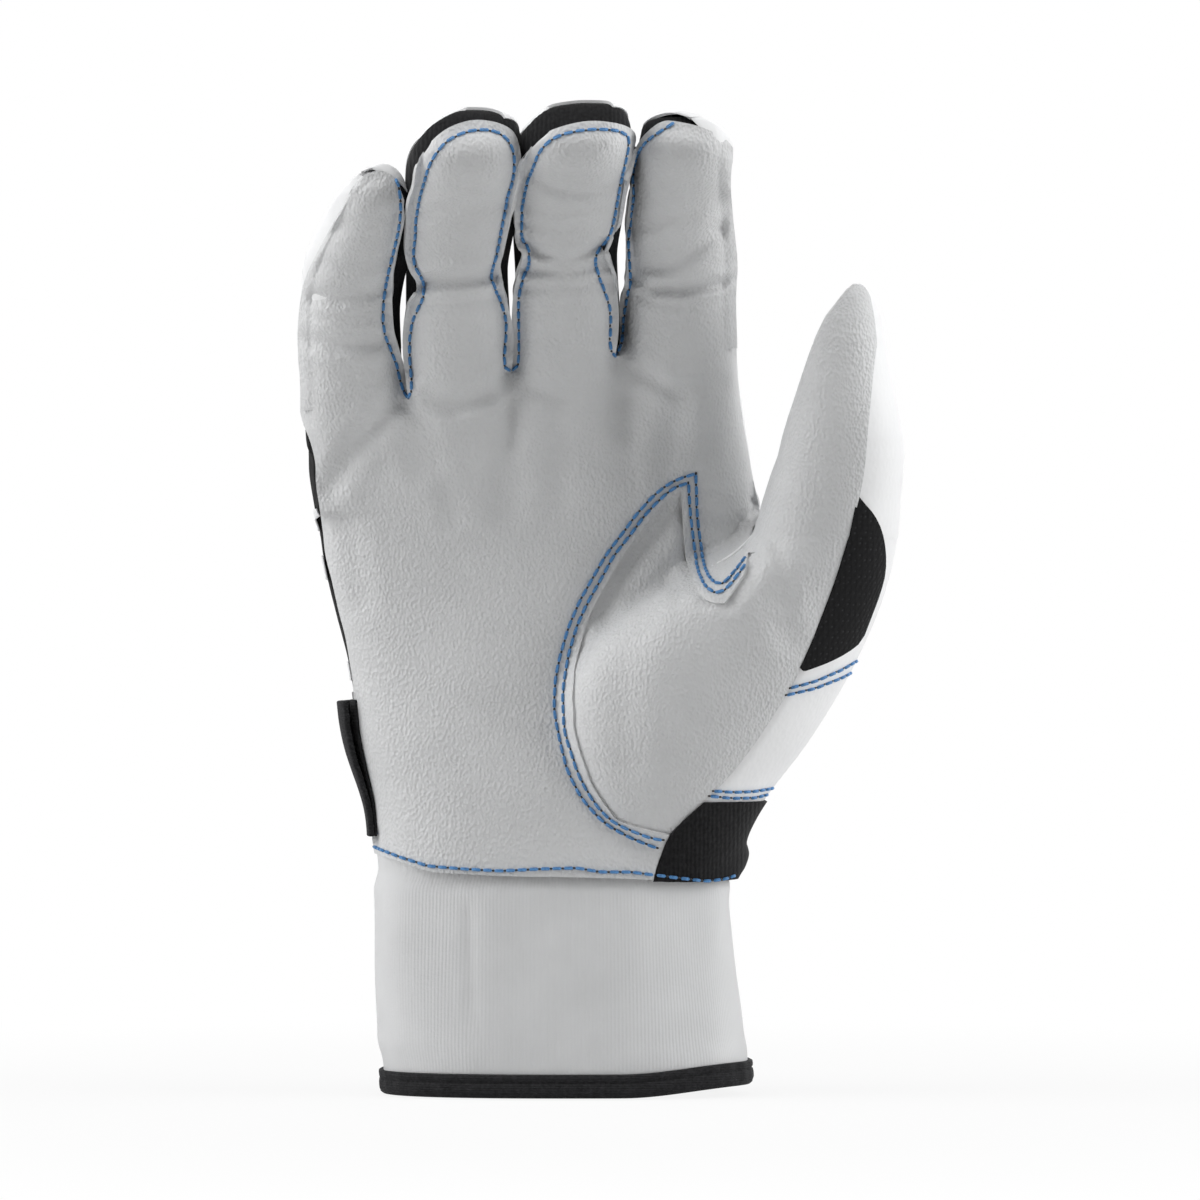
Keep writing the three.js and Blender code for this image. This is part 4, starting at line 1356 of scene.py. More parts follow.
thumbMiddles = [
    ((rowRight + thumbSpan * (left + right) / 2) * mm + originShift.x,
     thumbDepth * (front + back) / 2 * mm + originShift.y, (cuffHeight + thumbHeight * up) * mm)
    for up, left, right, front, back in thumbRows
]
thumbX = Line([(p[0], p[2]) for p in thumbMiddles])
thumbY = Line([(p[1], p[2]) for p in thumbMiddles])
handMiddle = (-8 * mm, 17 * mm)
thumbRow, thumbMid, thumbTop = 118 * mm, 136 * mm, 158 * mm


def thumbMiddle(height):
    return thumbX(height), thumbY(height)


def thumbPoint(height, turn, lift):
    middle = thumbMiddle(height)
    return wrapPoint(height, turn, middle, lift, 0.06, thumbTree)


def thumbDome(rise, turn, lift):
    # Above the last row the rays fan up to the tip.
    centre = Vector((*thumbMiddle(thumbTop), thumbTop))
    tilt = rise * math.pi / 2
    flat = math.cos(tilt)
    way = Vector((math.cos(turn) * flat, math.sin(turn) * flat, math.sin(tilt)))
    hit = thumbTree.ray_cast(centre + way * 0.06, -way)[0]
    return hit + way * lift


def seenX(p):
    return pictured(p)[0]


def pyOf(height, y=0):
    # The picture row of a height, for a point that lies at this depth.
    share = (y - eye.y) / -eye.y
    return floorRow - (eye.z + (height - eye.z) / share) / point


def turnWhere(measure, wanted, low, high):
    # The turn, in degrees, from low to high, at which a rising measure reaches what is wanted.
    step = 3 if high > low else -3
    last = low
    turn = low
    while (turn - high) * step < 0:
        if measure(math.radians(turn)) >= wanted:
            break
        last = turn
        turn += step
    a, b = last, turn
    for _ in range(8):
        half = (a + b) / 2
        if measure(math.radians(half)) >= wanted:
            b = half
        else:
            a = half
    return math.radians((a + b) / 2)


thumbSeam = Line([
    (869, 292), (880, 310), (878, 330), (875, 350), (868, 420), (862, 480), (850, 530), (836, 577),
    (820, 620), (795, 680), (773, 716), (750, 750), (724, 782), (700, 805), (683, 822), (669, 835),
    (662, 850), (653, 880),
])
turnCache = {}


def seamTurn(height):
    # Where the thumb's front leather ends, at its seam in the photograph.
    key = ("seam", round(height * 1e5))
    if key not in turnCache:
        px = thumbSeam(pyOf(height, -0.02))
        turnCache[key] = turnWhere(lambda t: seenX(thumbPoint(height, t, 0.4 * mm)), px, -90, 20)
    return turnCache[key]


def fixed(degrees):
    return lambda height: math.radians(degrees)


heelCreases = [
    ([(672, 510), (650, 536), (622, 572), (602, 612)], 0.6, 13),
    ([(684, 505), (690, 560), (704, 600)], 0.2, 8),
    ([(752, 560), (772, 600), (790, 640)], 0.25, 12),
    ([(730, 606), (748, 580), (754, 556)], 0.25, 7),
    ([(770, 520), (780, 560), (786, 600)], 0.3, 9),
    ([(640, 600), (628, 640), (622, 700), (630, 760)], 0.25, 16),
]


def heelPoint(px, py):
    depth = webDepth(px, py, [], (px - 60, py)) + sunkIn(heelCreases, px, py)
    covered = smooth(px, branchEdge(py) + 2, branchEdge(py) + 9)
    covered *= 1 - smooth(px, webEdge(py) - 8, webEdge(py) - 2)
    covered *= 1 - smooth(py, 588, 602)
    beside = math.exp(-((distanceTo(rawEdge, px, py) / 5) ** 2))
    depth += covered * (creased(px, py) + 0.9 * mm) + (1 - covered) * 0.5 * mm * beside
    return onRay(px, py, depth - 0.35 * mm)


def makeHeel():
    # One skin with a slit that lies under the palm leather's tongue.
    split, fork = pyOf(thumbRow), forkRow

    def leftOf(py):
        edge = heelEdge(max(py, crotchRow)) if py < gussetTop else gussetLeft(py) + 4
        return edge - 12

    def forkOf(py):
        return 719 + (py - fork) * 0.2

    def lower(a, b):
        py = 862 + (fork - 862) * b
        left, right = leftOf(py), thumbSeam(py)
        apart = forkOf(fork) - (leftOf(fork) + thumbSeam(fork)) / 2
        middle = min(forkOf(py), (left + right) / 2 + apart * b)
        px = left + (middle - left) * a * 2 if a < 0.5 else middle + (right - middle) * (a * 2 - 1)
        return heelPoint(px, py)

    def upperLeft(a, b):
        py = fork + (482 - fork) * b
        edge = branchEdge(max(py, crotchRow)) + 12
        right = forkOf(fork) + (edge - forkOf(fork)) * smooth(b, 0, 0.1)
        left = leftOf(py)
        return heelPoint(left + (right - left) * a, py)

    def upperRight(a, b):
        py = fork + (split - fork) * b
        left = forkOf(fork) + (webEdge(py) - 9 - forkOf(fork)) * smooth(b, 0, 0.1)
        px = left + (thumbSeam(py) - left) * a
        y = depthSeen(px, py, [], (px - 60, py))
        return heelPoint(px, py + (pyOf(thumbRow, y) - split) * b)

    parts = [
        gridMesh("heelLower", 84, 70, lower), gridMesh("heelLeft", 42, 40, upperLeft),
        gridMesh("heelRight", 42, 24, upperRight),
    ]
    obj = weldedSkin("thumb_heel_skin", parts, 0.02 * mm)
    return layer(obj, "palm_leather", 0.5 * mm, "hand", replaces=["thumb_heel_leather"])


heel = makeHeel()
thumbBends = {
    "base": (
        "hand", "thumb_base", Vector((0.045, -0.01, 0.117)), Vector((0.045, -0.01, 0.133)),
    ),
    "end": (
        "thumb_base", "thumb_end", Vector((0.05, -0.015, 0.138)), Vector((0.05, -0.015, 0.154)),
    ),
}
backSeamTurn = math.radians(128)


def makeThumbWrap(name, part, fromTurn, toTurn, lift, slot, thickness, replaces):
    low, high = (thumbRow - 3 * mm, thumbMid) if part == "base" else (thumbMid, thumbTop)
    bodyShare = 1 if part == "base" else 0.6

    def place(a, b):
        if b <= bodyShare:
            height = low + (high - low) * b / bodyShare
            start, end = fromTurn(height), toTurn(height)
            foot = -0.7 * mm + 1.0 * mm * smooth(height, thumbRow - 3 * mm, thumbRow - 0.1 * mm)
            own = foot + (lift - 0.3 * mm) * smooth(height, thumbRow - 0.5 * mm, thumbRow + 8 * mm)
            return thumbPoint(height, start + (end - start) * a, own)
        start, end = fromTurn(thumbTop), toTurn(thumbTop)
        rise = (b - bodyShare) / (1 - bodyShare)
        return thumbDome(rise * 0.985, start + (end - start) * a, lift)

    obj = gridMesh(name, 64, 28 if part == "base" else 60, place, look=looks[slot])
    outwards(obj, Vector((*thumbMiddle((low + high) / 2), (low + high) / 2)))
    return layer(obj, slot, thickness, blend=thumbBends[part], replaces=replaces)


def outwards(obj, centre):
    bm = bmesh.new()
    bm.from_mesh(obj.data)
    bm.normal_update()
    if sum((f.calc_center_median() - centre).dot(f.normal) for f in bm.faces) < 0:
        bmesh.ops.reverse_faces(bm, faces=bm.faces)
        bm.normal_update()
    bm.to_mesh(obj.data)
    bm.free()


for part in ("base", "end"):
    knit = "thumb_knuckle_knit" if part == "base" else "thumb_joint_knit"
    makeThumbWrap(
        f"thumb_{part}_panel", part, seamTurn, fixed(-232), 0.7 * mm, "palm_leather", 0.6 * mm,
        [f"thumb_{part}_front", knit],
    )
    makeThumbWrap(
        f"thumb_{part}_backing", part, lambda h: seamTurn(h) - 0.12, lambda h: backSeamTurn + 0.08,
        0.15 * mm, "back_leather", 0.5 * mm, [f"thumb_{part}_back"],
    )
print("thumb ready")


def knitShows(p):
    # Where the knit body isn't under leather: the back's little-finger side, and the knuckles.
    left = smooth(-p.x, 0.036, 0.040) * smooth(p.y, 0.012, 0.02)
    high = smooth(p.z, 0.132, 0.138) * smooth(p.y, 0.008, 0.014)
    return max(left, high)


def cutAt(bm, at, way):
    bmesh.ops.bisect_plane(
        bm, geom=bm.verts[:] + bm.edges[:] + bm.faces[:], plane_co=at, plane_no=way,
    )


def makeHandKnit():
    foot = 50.8 * mm
    bm = bmesh.new()
    bm.from_mesh(handForm.data)
    bm.normal_update()
    for vert in bm.verts:
        deep = 1.4 + 1.2 * smooth(-vert.normal.y, 0.15, 0.6)
        deep += (0.1 - deep) * knitShows(vert.co)
        vert.co -= vert.normal * deep * mm
    cutAt(bm, (0, 0, thumbRow), (0, 0, 1))
    cutAt(bm, (0, 0, foot), (0, 0, 1))

    def outside(p):
        isThumb = p.z > thumbRow and (p.x - 32 * mm) - 0.6 * (p.y - 2 * mm) > 0
        return isThumb or p.z < foot

    gone = [face for face in bm.faces if outside(face.calc_center_median())]
    bmesh.ops.delete(bm, geom=gone, context="FACES")
    obj = finishMesh("hand_knit_body", bm, looks["black_knit"])
    return layer(
        obj, "black_knit", 0.5 * mm, "hand",
        replaces=["back_knit", "slit_gusset_1", "slit_gusset_2", "slit_gusset_3"],
    )


makeHandKnit()


def backEnd(height):
    key = ("end", round(height * 1e5))
    if key not in turnCache:
        turns = [math.radians(k) for k in range(150, 220, 2)]
        farthest = min(turns, key=lambda t: seenX(wrapPoint(height, t, handMiddle, 0)))
        turnCache[key] = farthest + 0.05
    return turnCache[key]


def turnAtX(height, x):
    key = (x, round(height * 1e5))
    if key not in turnCache:
        turnCache[key] = turnWhere(lambda t: -wrapPoint(height, t, handMiddle, 0).x, -x, 95, 179)
    return turnCache[key]


def makeBack():
    # The white leather over the back and round the thumb's root: the form's own skin, cut out.
    low, block, knitX = 50.9 * mm, 85 * mm, -38.9 * mm
    topAt, topWay = Vector((-63, 0, 136.5)) * mm, Vector((-13.4, 0, 93.5)).normalized()
    webAt, webWay = Vector((32, 2, 0)) * mm, Vector((1, -0.6, 0)).normalized()
    bm = bmesh.new()
    bm.from_mesh(handForm.data)
    bm.normal_update()
    facing = {v: v.normal.copy() for v in bm.verts}
    for vert, normal in facing.items():
        px, py, _ = pictured(vert.co)
        tucked = (1 - smooth(px, thumbSeam(py) - 3, thumbSeam(py) + 3)) * smooth(-normal.y, 0, 0.2)
        vert.co += normal * (0.25 - 0.7 * tucked) * mm
    for at, way in (
        ((0, 0, low), (0, 0, 1)), ((0, 0, thumbRow), (0, 0, 1)), ((0, 0, block), (0, 0, 1)),
        ((knitX, 0, 0), (1, 0, 0)), (topAt, topWay), (webAt, webWay),
    ):
        cutAt(bm, at, way)
    bm.normal_update()

    def outside(face):
        at = face.calc_center_median()
        px, py, _ = pictured(at)
        if at.z < low or (at - topAt).dot(topWay) > 0 or (at.x < knitX and at.z > block):
            return True
        if at.z > thumbRow and (at - webAt).dot(webWay) > 0:
            return True
        if at.z > thumbRow:
            return face.normal.y < -0.7
        return face.normal.y < -0.2 and px < thumbSeam(py) - 10

    bmesh.ops.delete(bm, geom=[face for face in bm.faces if outside(face)], context="FACES")
    obj = finishMesh("back_leather_skin", bm, looks["back_leather"])
    return layer(
        obj, "back_leather", 0.5 * mm, "hand", replaces=["back_leather", "thumb_side_leather"],
    )


back = makeBack()
print("back ready")


# The cuff and its bound hem
cuffLeftLine = Line([
    (371, 850), (373, 866), (374, 900), (374, 990), (376, 1030), (377, 1048), (381, 1062),
    (385, 1098),
])
cuffRightLine = Line([
    (740, 850), (736, 866), (731, 884), (729, 900), (731, 936), (735, 978), (740, 1020),
    (743, 1048), (746, 1064), (748, 1098),
])


# In millimetres. A soft upright fold lies at one turn round the cuff, in radians.
cuffSizes = {
    "foot": 1.2, "top": 51, "thickness": 1.4, "around": 185, "tuck": 1.1,
    "foldAt": 4.32, "foldWidth": 0.035, "fold": 0.5,
}


def cuffPoint(turn, height, outset):
    py = pyOf(height)
    spread = (19 * mm - eye.y) / -eye.y
    left = (cuffLeftLine(py) - middleColumn) * point * spread - outset
    right = (cuffRightLine(py) - middleColumn) * point * spread + outset
    share = min(height / (cuffHeight * mm), 1)
    front = -(20.5 - 0.7 * share) * mm - outset
    rear = (20.5 - 1 * share) * mm + outset
    x, y = onRing(turn, 2.5, (right - left) / 2, (rear - front) / 2)
    rise = 2.0 * mm * smooth(x, 12 * mm, 38 * mm) * (1 - smooth(height, 5 * mm, 30 * mm))
    return Vector(((left + right) / 2 + x, (front + rear) / 2 + y + originShift.y, height + rise))


def cuffDent(turn, height):
    # One soft upright fold, and a little slack all round.
    beside = (turn - cuffSizes["foldAt"]) / cuffSizes["foldWidth"]
    first = math.exp(-(beside ** 2)) * cuffSizes["fold"]
    slack = 0.22 * math.sin(turn * 5 + height * 60) + 0.16 * math.sin(turn * 9 - height * 45 + 1)
    return (-first * smooth(height, 0.01, 0.022) * (1 - smooth(height, 0.036, 0.045)) + slack) * mm


def makeCuff():
    low, high = cuffSizes["foot"] * mm, cuffSizes["top"] * mm

    def place(a, b):
        turn = a * 2 * math.pi
        height = low + (high - low) * b
        fade = smooth(height, low, low + 8 * mm) * (1 - smooth(height, high - 8 * mm, high))
        tuck = cuffSizes["tuck"] * mm * smooth(height, 43 * mm, 48 * mm)
        return cuffPoint(turn, height, cuffDent(turn, height) * fade - tuck)

    obj = gridMesh("cuff_sleeve", 200, 60, place, closed=True, look=looks["cuff_knit"])
    around = obj.data.attributes.new("around", "FLOAT", "POINT")
    perMetre = 2 * math.pi / (cuffSizes["around"] * mm)
    turns = [
        math.atan2((v.co.y - originShift.y) * 1.75, v.co.x + 8 * mm) for v in obj.data.vertices
    ]
    around.data.foreach_set("value", [turn / perMetre for turn in turns])
    thickened(obj, cuffSizes["thickness"] * mm)
    return settle(obj, "cuff_knit", "hand", replaces=["cuff"])


makeCuff()
# The folded tape's section: outwards and up, in millimetres.
hemSection = [
    (-0.1, 4.9), (0.55, 5.05), (0.95, 4.75), (1.05, 4.2), (1.0, 3.6), (0.72, 3.3), (1.0, 3.0),
    (1.15, 2.2), (1.15, 1.2), (0.9, 0.4), (0.4, 0.0), (-1.2, 0.0), (-2.1, 0.4), (-2.4, 1.2),
    (-2.4, 3.8), (-2.1, 4.7), (-1.5, 4.9), (-0.8, 4.2),
]


def makeHem():
    def place(a, b):
        out, height = hemSection[round(b * len(hemSection)) % len(hemSection)]
        turn = a * 2 * math.pi
        ripple = 0.1 * math.sin(turn * 31) + 0.08 * math.sin(turn * 17 + 1)
        return cuffPoint(turn, height * mm, (out + (ripple if 0.5 < height < 4.8 else 0)) * mm)

    obj = gridMesh("hem_tape", 180, len(hemSection), place, closed=True, look=looks["binding"])
    return settle(obj, "binding", "hand", replaces=["cuff_binding"])


makeHem()
print("cuff ready")


# What is sewn or laid on the back of the wrist and hand
def wrapPatch(
    name, slot, heights, turns, lift, thickness, body, replaces,
    columns=40, rows=16, ribs=0, close=0,
):
    # The two turns are functions of the height. Near its sewn end it may lie closer by close.
    low, high = heights

    def place(a, b):
        height = low + (high - low) * b
        start, end = (turn(height) for turn in turns)
        turn = start + (end - start) * a
        over = lift - close * smooth(turn, 2.5, 3.1) * (1 - smooth(b, 0, 0.9))
        rib = 0.35 * mm * (0.5 - 0.5 * math.cos(a * ribs * 2 * math.pi)) if ribs else 0
        rib *= smooth(b, 0.06, 0.12) * smooth(1 - b, 0.06, 0.12)
        return wrapPoint(height, turn, handMiddle, over + thickness + rib)

    obj = gridMesh(name, columns, rows, place, look=looks[slot])
    outwards(obj, Vector((*handMiddle, (low + high) / 2)))
    mod = obj.modifiers.new("thickness", "SOLIDIFY")
    mod.thickness = thickness
    mod.offset = -1
    edge = obj.modifiers.new("edge", "BEVEL")
    edge.width = min(0.3 * mm, thickness * 0.3)
    edge.segments = 2
    edge.limit_method = "ANGLE"
    applyAll(obj)
    return settle(obj, slot, body, replaces=replaces)


# Heights, lifts and thicknesses in millimetres, turns in degrees round the wrist.
strapPieces = {
    "strap_band": {
        "slot": "strap_webbing", "body": "strap", "replaces": "wrist_strap", "inset": 0,
        "turns": (42, 185), "lift": 2.5, "thickness": 1.2,
        "more": {"columns": 90, "rows": 24, "close": 1.5 * mm},
    },
    "strap_loop": {
        "slot": "hook_and_loop", "body": "hand", "replaces": "loop_patch", "inset": 4,
        "turns": (48, 84), "lift": 0.9, "thickness": 0.7, "more": {},
    },
    "strap_hook": {
        "slot": "hook_and_loop", "body": "strap", "replaces": "hook_patch", "inset": 4,
        "turns": (48, 84), "lift": 1.7, "thickness": 0.7, "more": {},
    },
    "strap_tab": {
        "slot": "tab_rubber", "body": "strap", "replaces": "pull_tab", "inset": 4,
        "turns": (28, 44), "lift": 2.5, "thickness": 1.5,
        "more": {"columns": 60, "rows": 30, "ribs": 5},
    },
    "strap_end": {
        "slot": "strap_webbing", "body": "hand", "replaces": "strap_anchor", "inset": 0,
        "turns": (166, 184.5), "lift": 0.3, "thickness": 0.6, "more": {},
    },
}
strapLow, strapHigh = 54.5 * mm, 83.5 * mm
for name, piece in strapPieces.items():
    inset = piece["inset"] * mm
    wrapPatch(
        name, piece["slot"], (strapLow + inset, strapHigh - inset),
        [fixed(turn) for turn in piece["turns"]], piece["lift"] * mm, piece["thickness"] * mm,
        piece["body"], [piece["replaces"]], **piece["more"],
    )

# The stripes on the little finger's side of the back: height and width in millimetres
stripes = ((89.5, 4), (111.5, 5.2), (121.6, 4.6))
for i, (height, width) in enumerate(stripes):
    wrapPatch(
        f"back_stripe_{i + 1}", "back_leather",
        ((height - width / 2) * mm, (height + width / 2) * mm),
        (lambda h: turnAtX(h, -45.9 * mm), backEnd), -0.1 * mm, 0.4 * mm, "hand",
        [f"back_bar_{i + 1}"], 40, 6,
    )


def panelOnSide(name, slot, outline, lift, replaces, blend):
    # A panel let into the thumb's side, by its outline in the photograph.
    low = min(p[1] for p in outline)
    high = max(p[1] for p in outline)

    def edges(py):
        crossings = []
        for (ax, ay), (bx, by) in zip(outline, outline[1:] + outline[:1]):
            if (ay - py) * (by - py) <= 0 and ay != by:
                crossings.append(ax + (bx - ax) * (py - ay) / (by - ay))
        return min(crossings), max(crossings)

    def place(a, b):
        py = low + 0.5 + (high - low - 1) * b
        start, end = edges(py)
        px = start + (end - start) * a
        return onRay(px, py, depthSeen(px, py, [], (px - 60, py)) - lift)

    obj = gridMesh(name, 40, 60, place, look=looks[slot], facing=(0, -1, 0))
    return layer(obj, slot, 0.4 * mm, None, blend, replaces)


meshOutline = softened([
    (857, 494), (864, 503), (874, 514), (882, 530), (886, 550), (886, 572), (881, 592), (872, 616),
    (862, 642), (846, 654), (826, 664), (797, 674), (806, 656), (822, 618), (836, 580), (850, 535),
], 1)
panelOnSide(
    "thumb_mesh", "air_mesh", meshOutline, 0.7 * mm, ["thumb_mesh_gusset"], thumbBends["base"],
)
gussetSide = Line([
    (706, 798), (703, 801), (684, 818), (669, 835), (660, 857), (653, 880), (651, 888),
])


def makeWristKnit():
    def place(a, b):
        height = (45.2 + 17.2 * b) * mm
        py = pyOf(height)
        start = turnWhere(
            lambda t: seenX(wrapPoint(height, t, handMiddle, 0)), gussetSide(py), -88, 0,
        )
        turn = start + (math.radians(24) - start) * a
        puff = 1.9 * mm * math.exp(-(((height - 50.6 * mm) / (3.2 * mm)) ** 2))
        puff *= smooth(a, 0.35, 0.85)
        tuck = 1.5 * mm * smooth(50 * mm - height, 2 * mm, 5 * mm) * smooth(a, 0.3, 0.9)
        return wrapPoint(max(height, 45.5 * mm), turn, handMiddle, 0.95 * mm + puff - tuck)

    obj = gridMesh("wrist_knit", 60, 44, place, look=looks["black_knit"], facing=(1, -1, 0))
    return layer(obj, "black_knit", 0.5 * mm, "hand", replaces=["wrist_gusset"])


wristKnit = makeWristKnit()

bpy.data.objects.remove(handForm)
finishLayers()
print("layers ready", len(layers))


# Stitching: blue thread, and a black piece at the needle hole between two stitches as painted
# shade of the hole
stitchSizes = {
    "pitch": 2.4 * mm, "length": 1.9 * mm, "radius": 0.4 * mm, "hole": 0.28 * mm,
    "lift": 0.2 * mm,
}


def stitchShape(length, radius):
    bm = bmesh.new()
    bmesh.ops.create_cone(
        bm, cap_ends=True, segments=6, radius1=radius, radius2=radius, depth=length,
    )
    rims = [e for e in bm.edges if all(abs(abs(v.co.z) - length / 2) < 1e-7 for v in e.verts)]
    bmesh.ops.bevel(
        bm, geom=rims, offset=radius * 0.55, segments=1, profile=0.5, affect="EDGES", material=-1,
    )
    mesh = bpy.data.meshes.new("stitchShape")
    bm.to_mesh(mesh)
    bm.free()
    return mesh


shapes = {
    "thread": stitchShape(stitchSizes["length"], stitchSizes["radius"]),
    "hole": stitchShape(stitchSizes["hole"] * 2.4, stitchSizes["hole"]),
}


def surfaceLine(path, trees, every=1.5):
    # The line on the finished leather, seen through the photograph's points.
    found = []
    total = sum(math.dist(a, b) for a, b in zip(path, path[1:]))
    count = max(int(total / every), 2)
    for i in range(count + 1):
        px, py = along(path, i / count)
        way = (onPlane(px, py) - eye).normalized()
        best = None
        for tree in trees:
            hit, normal = tree.ray_cast(eye, way)[:2]
            if hit and (best is None or hit.y < best[0].y):
                best = (hit, normal)
        if best and (not found or (best[0] - found[-1][0]).length < 6 * mm):
            found.append(best)
    return found


def sewOn(bms, line):
    # Puts thread, and black pieces of painted hole shade, along a line of (place, normal).
    if len(line) < 3:
        return
    gone = [0.0]
    for (a, _), (b, _) in zip(line, line[1:]):
        gone.append(gone[-1] + (b - a).length)

    def at(distance):
        i = min(max(int(np.searchsorted(gone, distance)) - 1, 0), len(line) - 2)
        t = (distance - gone[i]) / max(gone[i + 1] - gone[i], 1e-9)
        return line[i][0].lerp(line[i + 1][0], t), line[i][1].lerp(line[i + 1][1], t).normalized()

    pitch = stitchSizes["pitch"]
    count = int(gone[-1] / pitch)
    if not count:
        return
    pitch = gone[-1] / count
    for i in range(count):
        middle = (i + 0.5) * pitch
        a, b = at(middle - pitch * 0.4)[0], at(middle + pitch * 0.4)[0]
        centre, normal = at(middle)
        centre = centre.lerp((a + b) / 2, 0.5)
        placeShape(bms["thread"], shapes["thread"], centre, b - a, normal, stitchSizes["lift"])
        edge, normal = at(i * pitch)
        # A black piece at each needle hole: painted shade of the hole.
        placeShape(bms["hole"], shapes["hole"], edge, b - a, normal, -0.02 * mm)


def placeShape(bm, shape, centre, way, normal, lift):
    if way.length < 1e-6:
        return
    way = way.normalized()
    side = way.cross(normal).normalized()
    up = side.cross(way)
    turn = Matrix((side, up, way)).transposed().to_4x4()
    turn.translation = centre + up * lift
    first = len(bm.verts)
    bm.from_mesh(shape)
    bm.verts.ensure_lookup_table()
    bmesh.ops.transform(bm, matrix=turn, verts=bm.verts[first:])


def stitched(name, lines, body=None, blend=None):
    bms = {"thread": bmesh.new(), "hole": bmesh.new()}
    for line in lines:
        sewOn(bms, line)
    for key, bm in bms.items():
        if not bm.verts:
            bm.free()
            continue
        isThread = key == "thread"
        # The holes' pieces get the black look of painted hole shade.
        look = looks["stitch_thread"] if isThread else paintedHoleShade
        obj = finishMesh(f"{name}_{key}", bm, look)
        settle(obj, "stitch_thread" if isThread else "black_knit", body, blend)


palmTree, heelTree = treeOf(palm), treeOf(heel)

thenarOuter = [
    (657, 848), (630, 838), (605, 824), (591, 810), (580, 796), (573, 782), (566, 768), (563, 754),
    (560, 740), (557, 726), (554, 712), (554, 698), (555, 684), (557, 670), (560, 656), (564, 642),
    (568, 628), (574, 614), (580, 600), (588, 586), (596, 572), (604, 558), (614, 544), (625, 530),
    (635, 516), (647, 502), (662, 488), (678, 479), (695.6, 473.5),
]
thenarInner = [
    (663, 840), (650, 838), (615, 824), (600, 810), (590, 796), (582, 782), (576, 768), (572, 754),
    (567, 740), (564, 726), (564, 712), (563, 698), (564, 684), (566, 670), (568, 656), (572, 642),
    (576, 628), (582, 614), (589, 600), (597, 586), (605, 572), (612, 558), (623, 544), (634, 530),
    (644, 516), (657, 502), (673, 488), (688, 483),
]
branchOuter = [
    (695.6, 473.5), (696, 492), (696.5, 516.5), (700, 543), (704, 566), (710, 579), (721, 586),
    (735, 572), (746, 557),
]
branchInner = [
    (688, 483), (689, 500), (690, 516.5), (694, 547), (698, 572), (706, 588), (717.6, 594),
    (729, 587), (746, 564),
]
doubleRows = [softened(row, 1) for row in (thenarOuter, thenarInner, branchOuter, branchInner)]
footRow = [
    (372, 846), (400, 857), (428, 866), (464, 869), (500, 871), (540, 869), (577, 868), (600, 872),
    (630, 872), (654, 875),
]
palmLines = [surfaceLine(row, [palmTree]) for row in doubleRows + [footRow]]
palmLines.append(surfaceLine([(757, 497), (760, 506), (762, 514)], [palmTree]))
stitched("palm_seams", palmLines, "hand")

fingerSeams = {
    "pinky": [
        (408, 398), (403, 391), (399, 377), (395, 362), (389, 348), (384, 334), (382, 320),
        (383, 300), (387, 278), (394, 250), (400, 226), (401, 205), (398, 184), (392, 175),
    ],
    "ring": [
        (408, 398), (412, 390), (411, 376), (409, 348), (411, 334), (413, 320), (420, 306),
        (425, 292), (422, 278), (414, 266), (414, 250), (416, 236), (416, 222), (418, 208),
        (421, 194), (425, 180), (429, 166), (437, 152), (448, 140), (468, 131), (490, 130),
        (504, 136), (512, 148), (514, 162), (512, 182), (507, 194), (505, 208), (502, 222),
        (498, 250), (493, 264), (490, 278), (496, 292), (502, 306), (506, 320), (505, 334),
        (504, 348), (503, 360), (505, 369), (511, 370),
    ],
    "middle": [
        (511, 370), (517, 369), (519, 358), (519, 334), (518, 306), (519, 292), (523, 278),
        (530, 264), (528, 250), (521, 236), (521, 222), (522, 208), (525, 194), (528, 180),
        (534, 166), (539, 152), (551, 139), (570, 132), (600, 129), (620, 131), (629, 138),
        (626, 156), (621, 178), (618, 194), (613, 222), (609, 236), (598, 250), (594, 262),
        (599, 278), (604, 292), (609, 306), (610, 320), (609, 340), (611, 352), (615, 356),
    ],
    "index": [
        (615, 356), (620, 350), (623, 336), (624, 320), (626, 306), (630, 288), (629, 264),
        (628, 236), (631, 222), (633, 208), (635, 194), (633, 180), (635, 166), (639, 152),
        (648, 140), (662, 131), (675, 122),
    ],
}
for finger in fingers:
    name = finger["name"]
    line = surfaceLine(
        softened(fingerSeams[name], 1),
        [treeOf(finger["basePanel"]), treeOf(finger["endPanel"]), palmTree],
    )
    # What lies past the middle between the two bends is sewn to the finger's end.
    way = (finger["baseBend"][3] - finger["baseBend"][2]).normalized()
    divide = (finger["baseBend"][3] + finger["endBend"][2]) / 2
    runs = {"base": [[]], "end": [[]]}
    for item in line:
        part = "end" if (item[0] - divide).dot(way) > 0 else "base"
        other = "base" if part == "end" else "end"
        if runs[other][-1]:
            runs[other].append([])
        runs[part][-1].append(item)
    for part, found in runs.items():
        longer = [run for run in found if len(run) > 3]
        stitched(f"{name}_{part}_seam", longer, blend=finger[f"{part}Bend"])

sideTrees = [treeOf(back), heelTree, treeOf(wristKnit)]
sideRows = [
    [(862, 486), (874, 491), (883, 499), (889, 512), (892, 528), (893, 542)],
    [(858, 492), (868, 497), (877, 505), (883, 517), (887, 532), (888, 545)],
    [(790, 688), (815, 681), (840, 670), (857, 660), (870, 649)],
    [(786, 695), (815, 688), (842, 677), (860, 667), (873, 655)],
    [(713, 791), (735, 792), (754, 791), (771, 788), (785, 782)],
    [(709, 796), (732, 798), (754, 797.5), (771, 793), (785, 786)],
    [(655, 875), (680, 878), (707, 881), (724, 879), (735, 875)],
]
stitched("thumb_side_seams", [surfaceLine(row, sideTrees) for row in sideRows], "hand")
print("stitches ready")


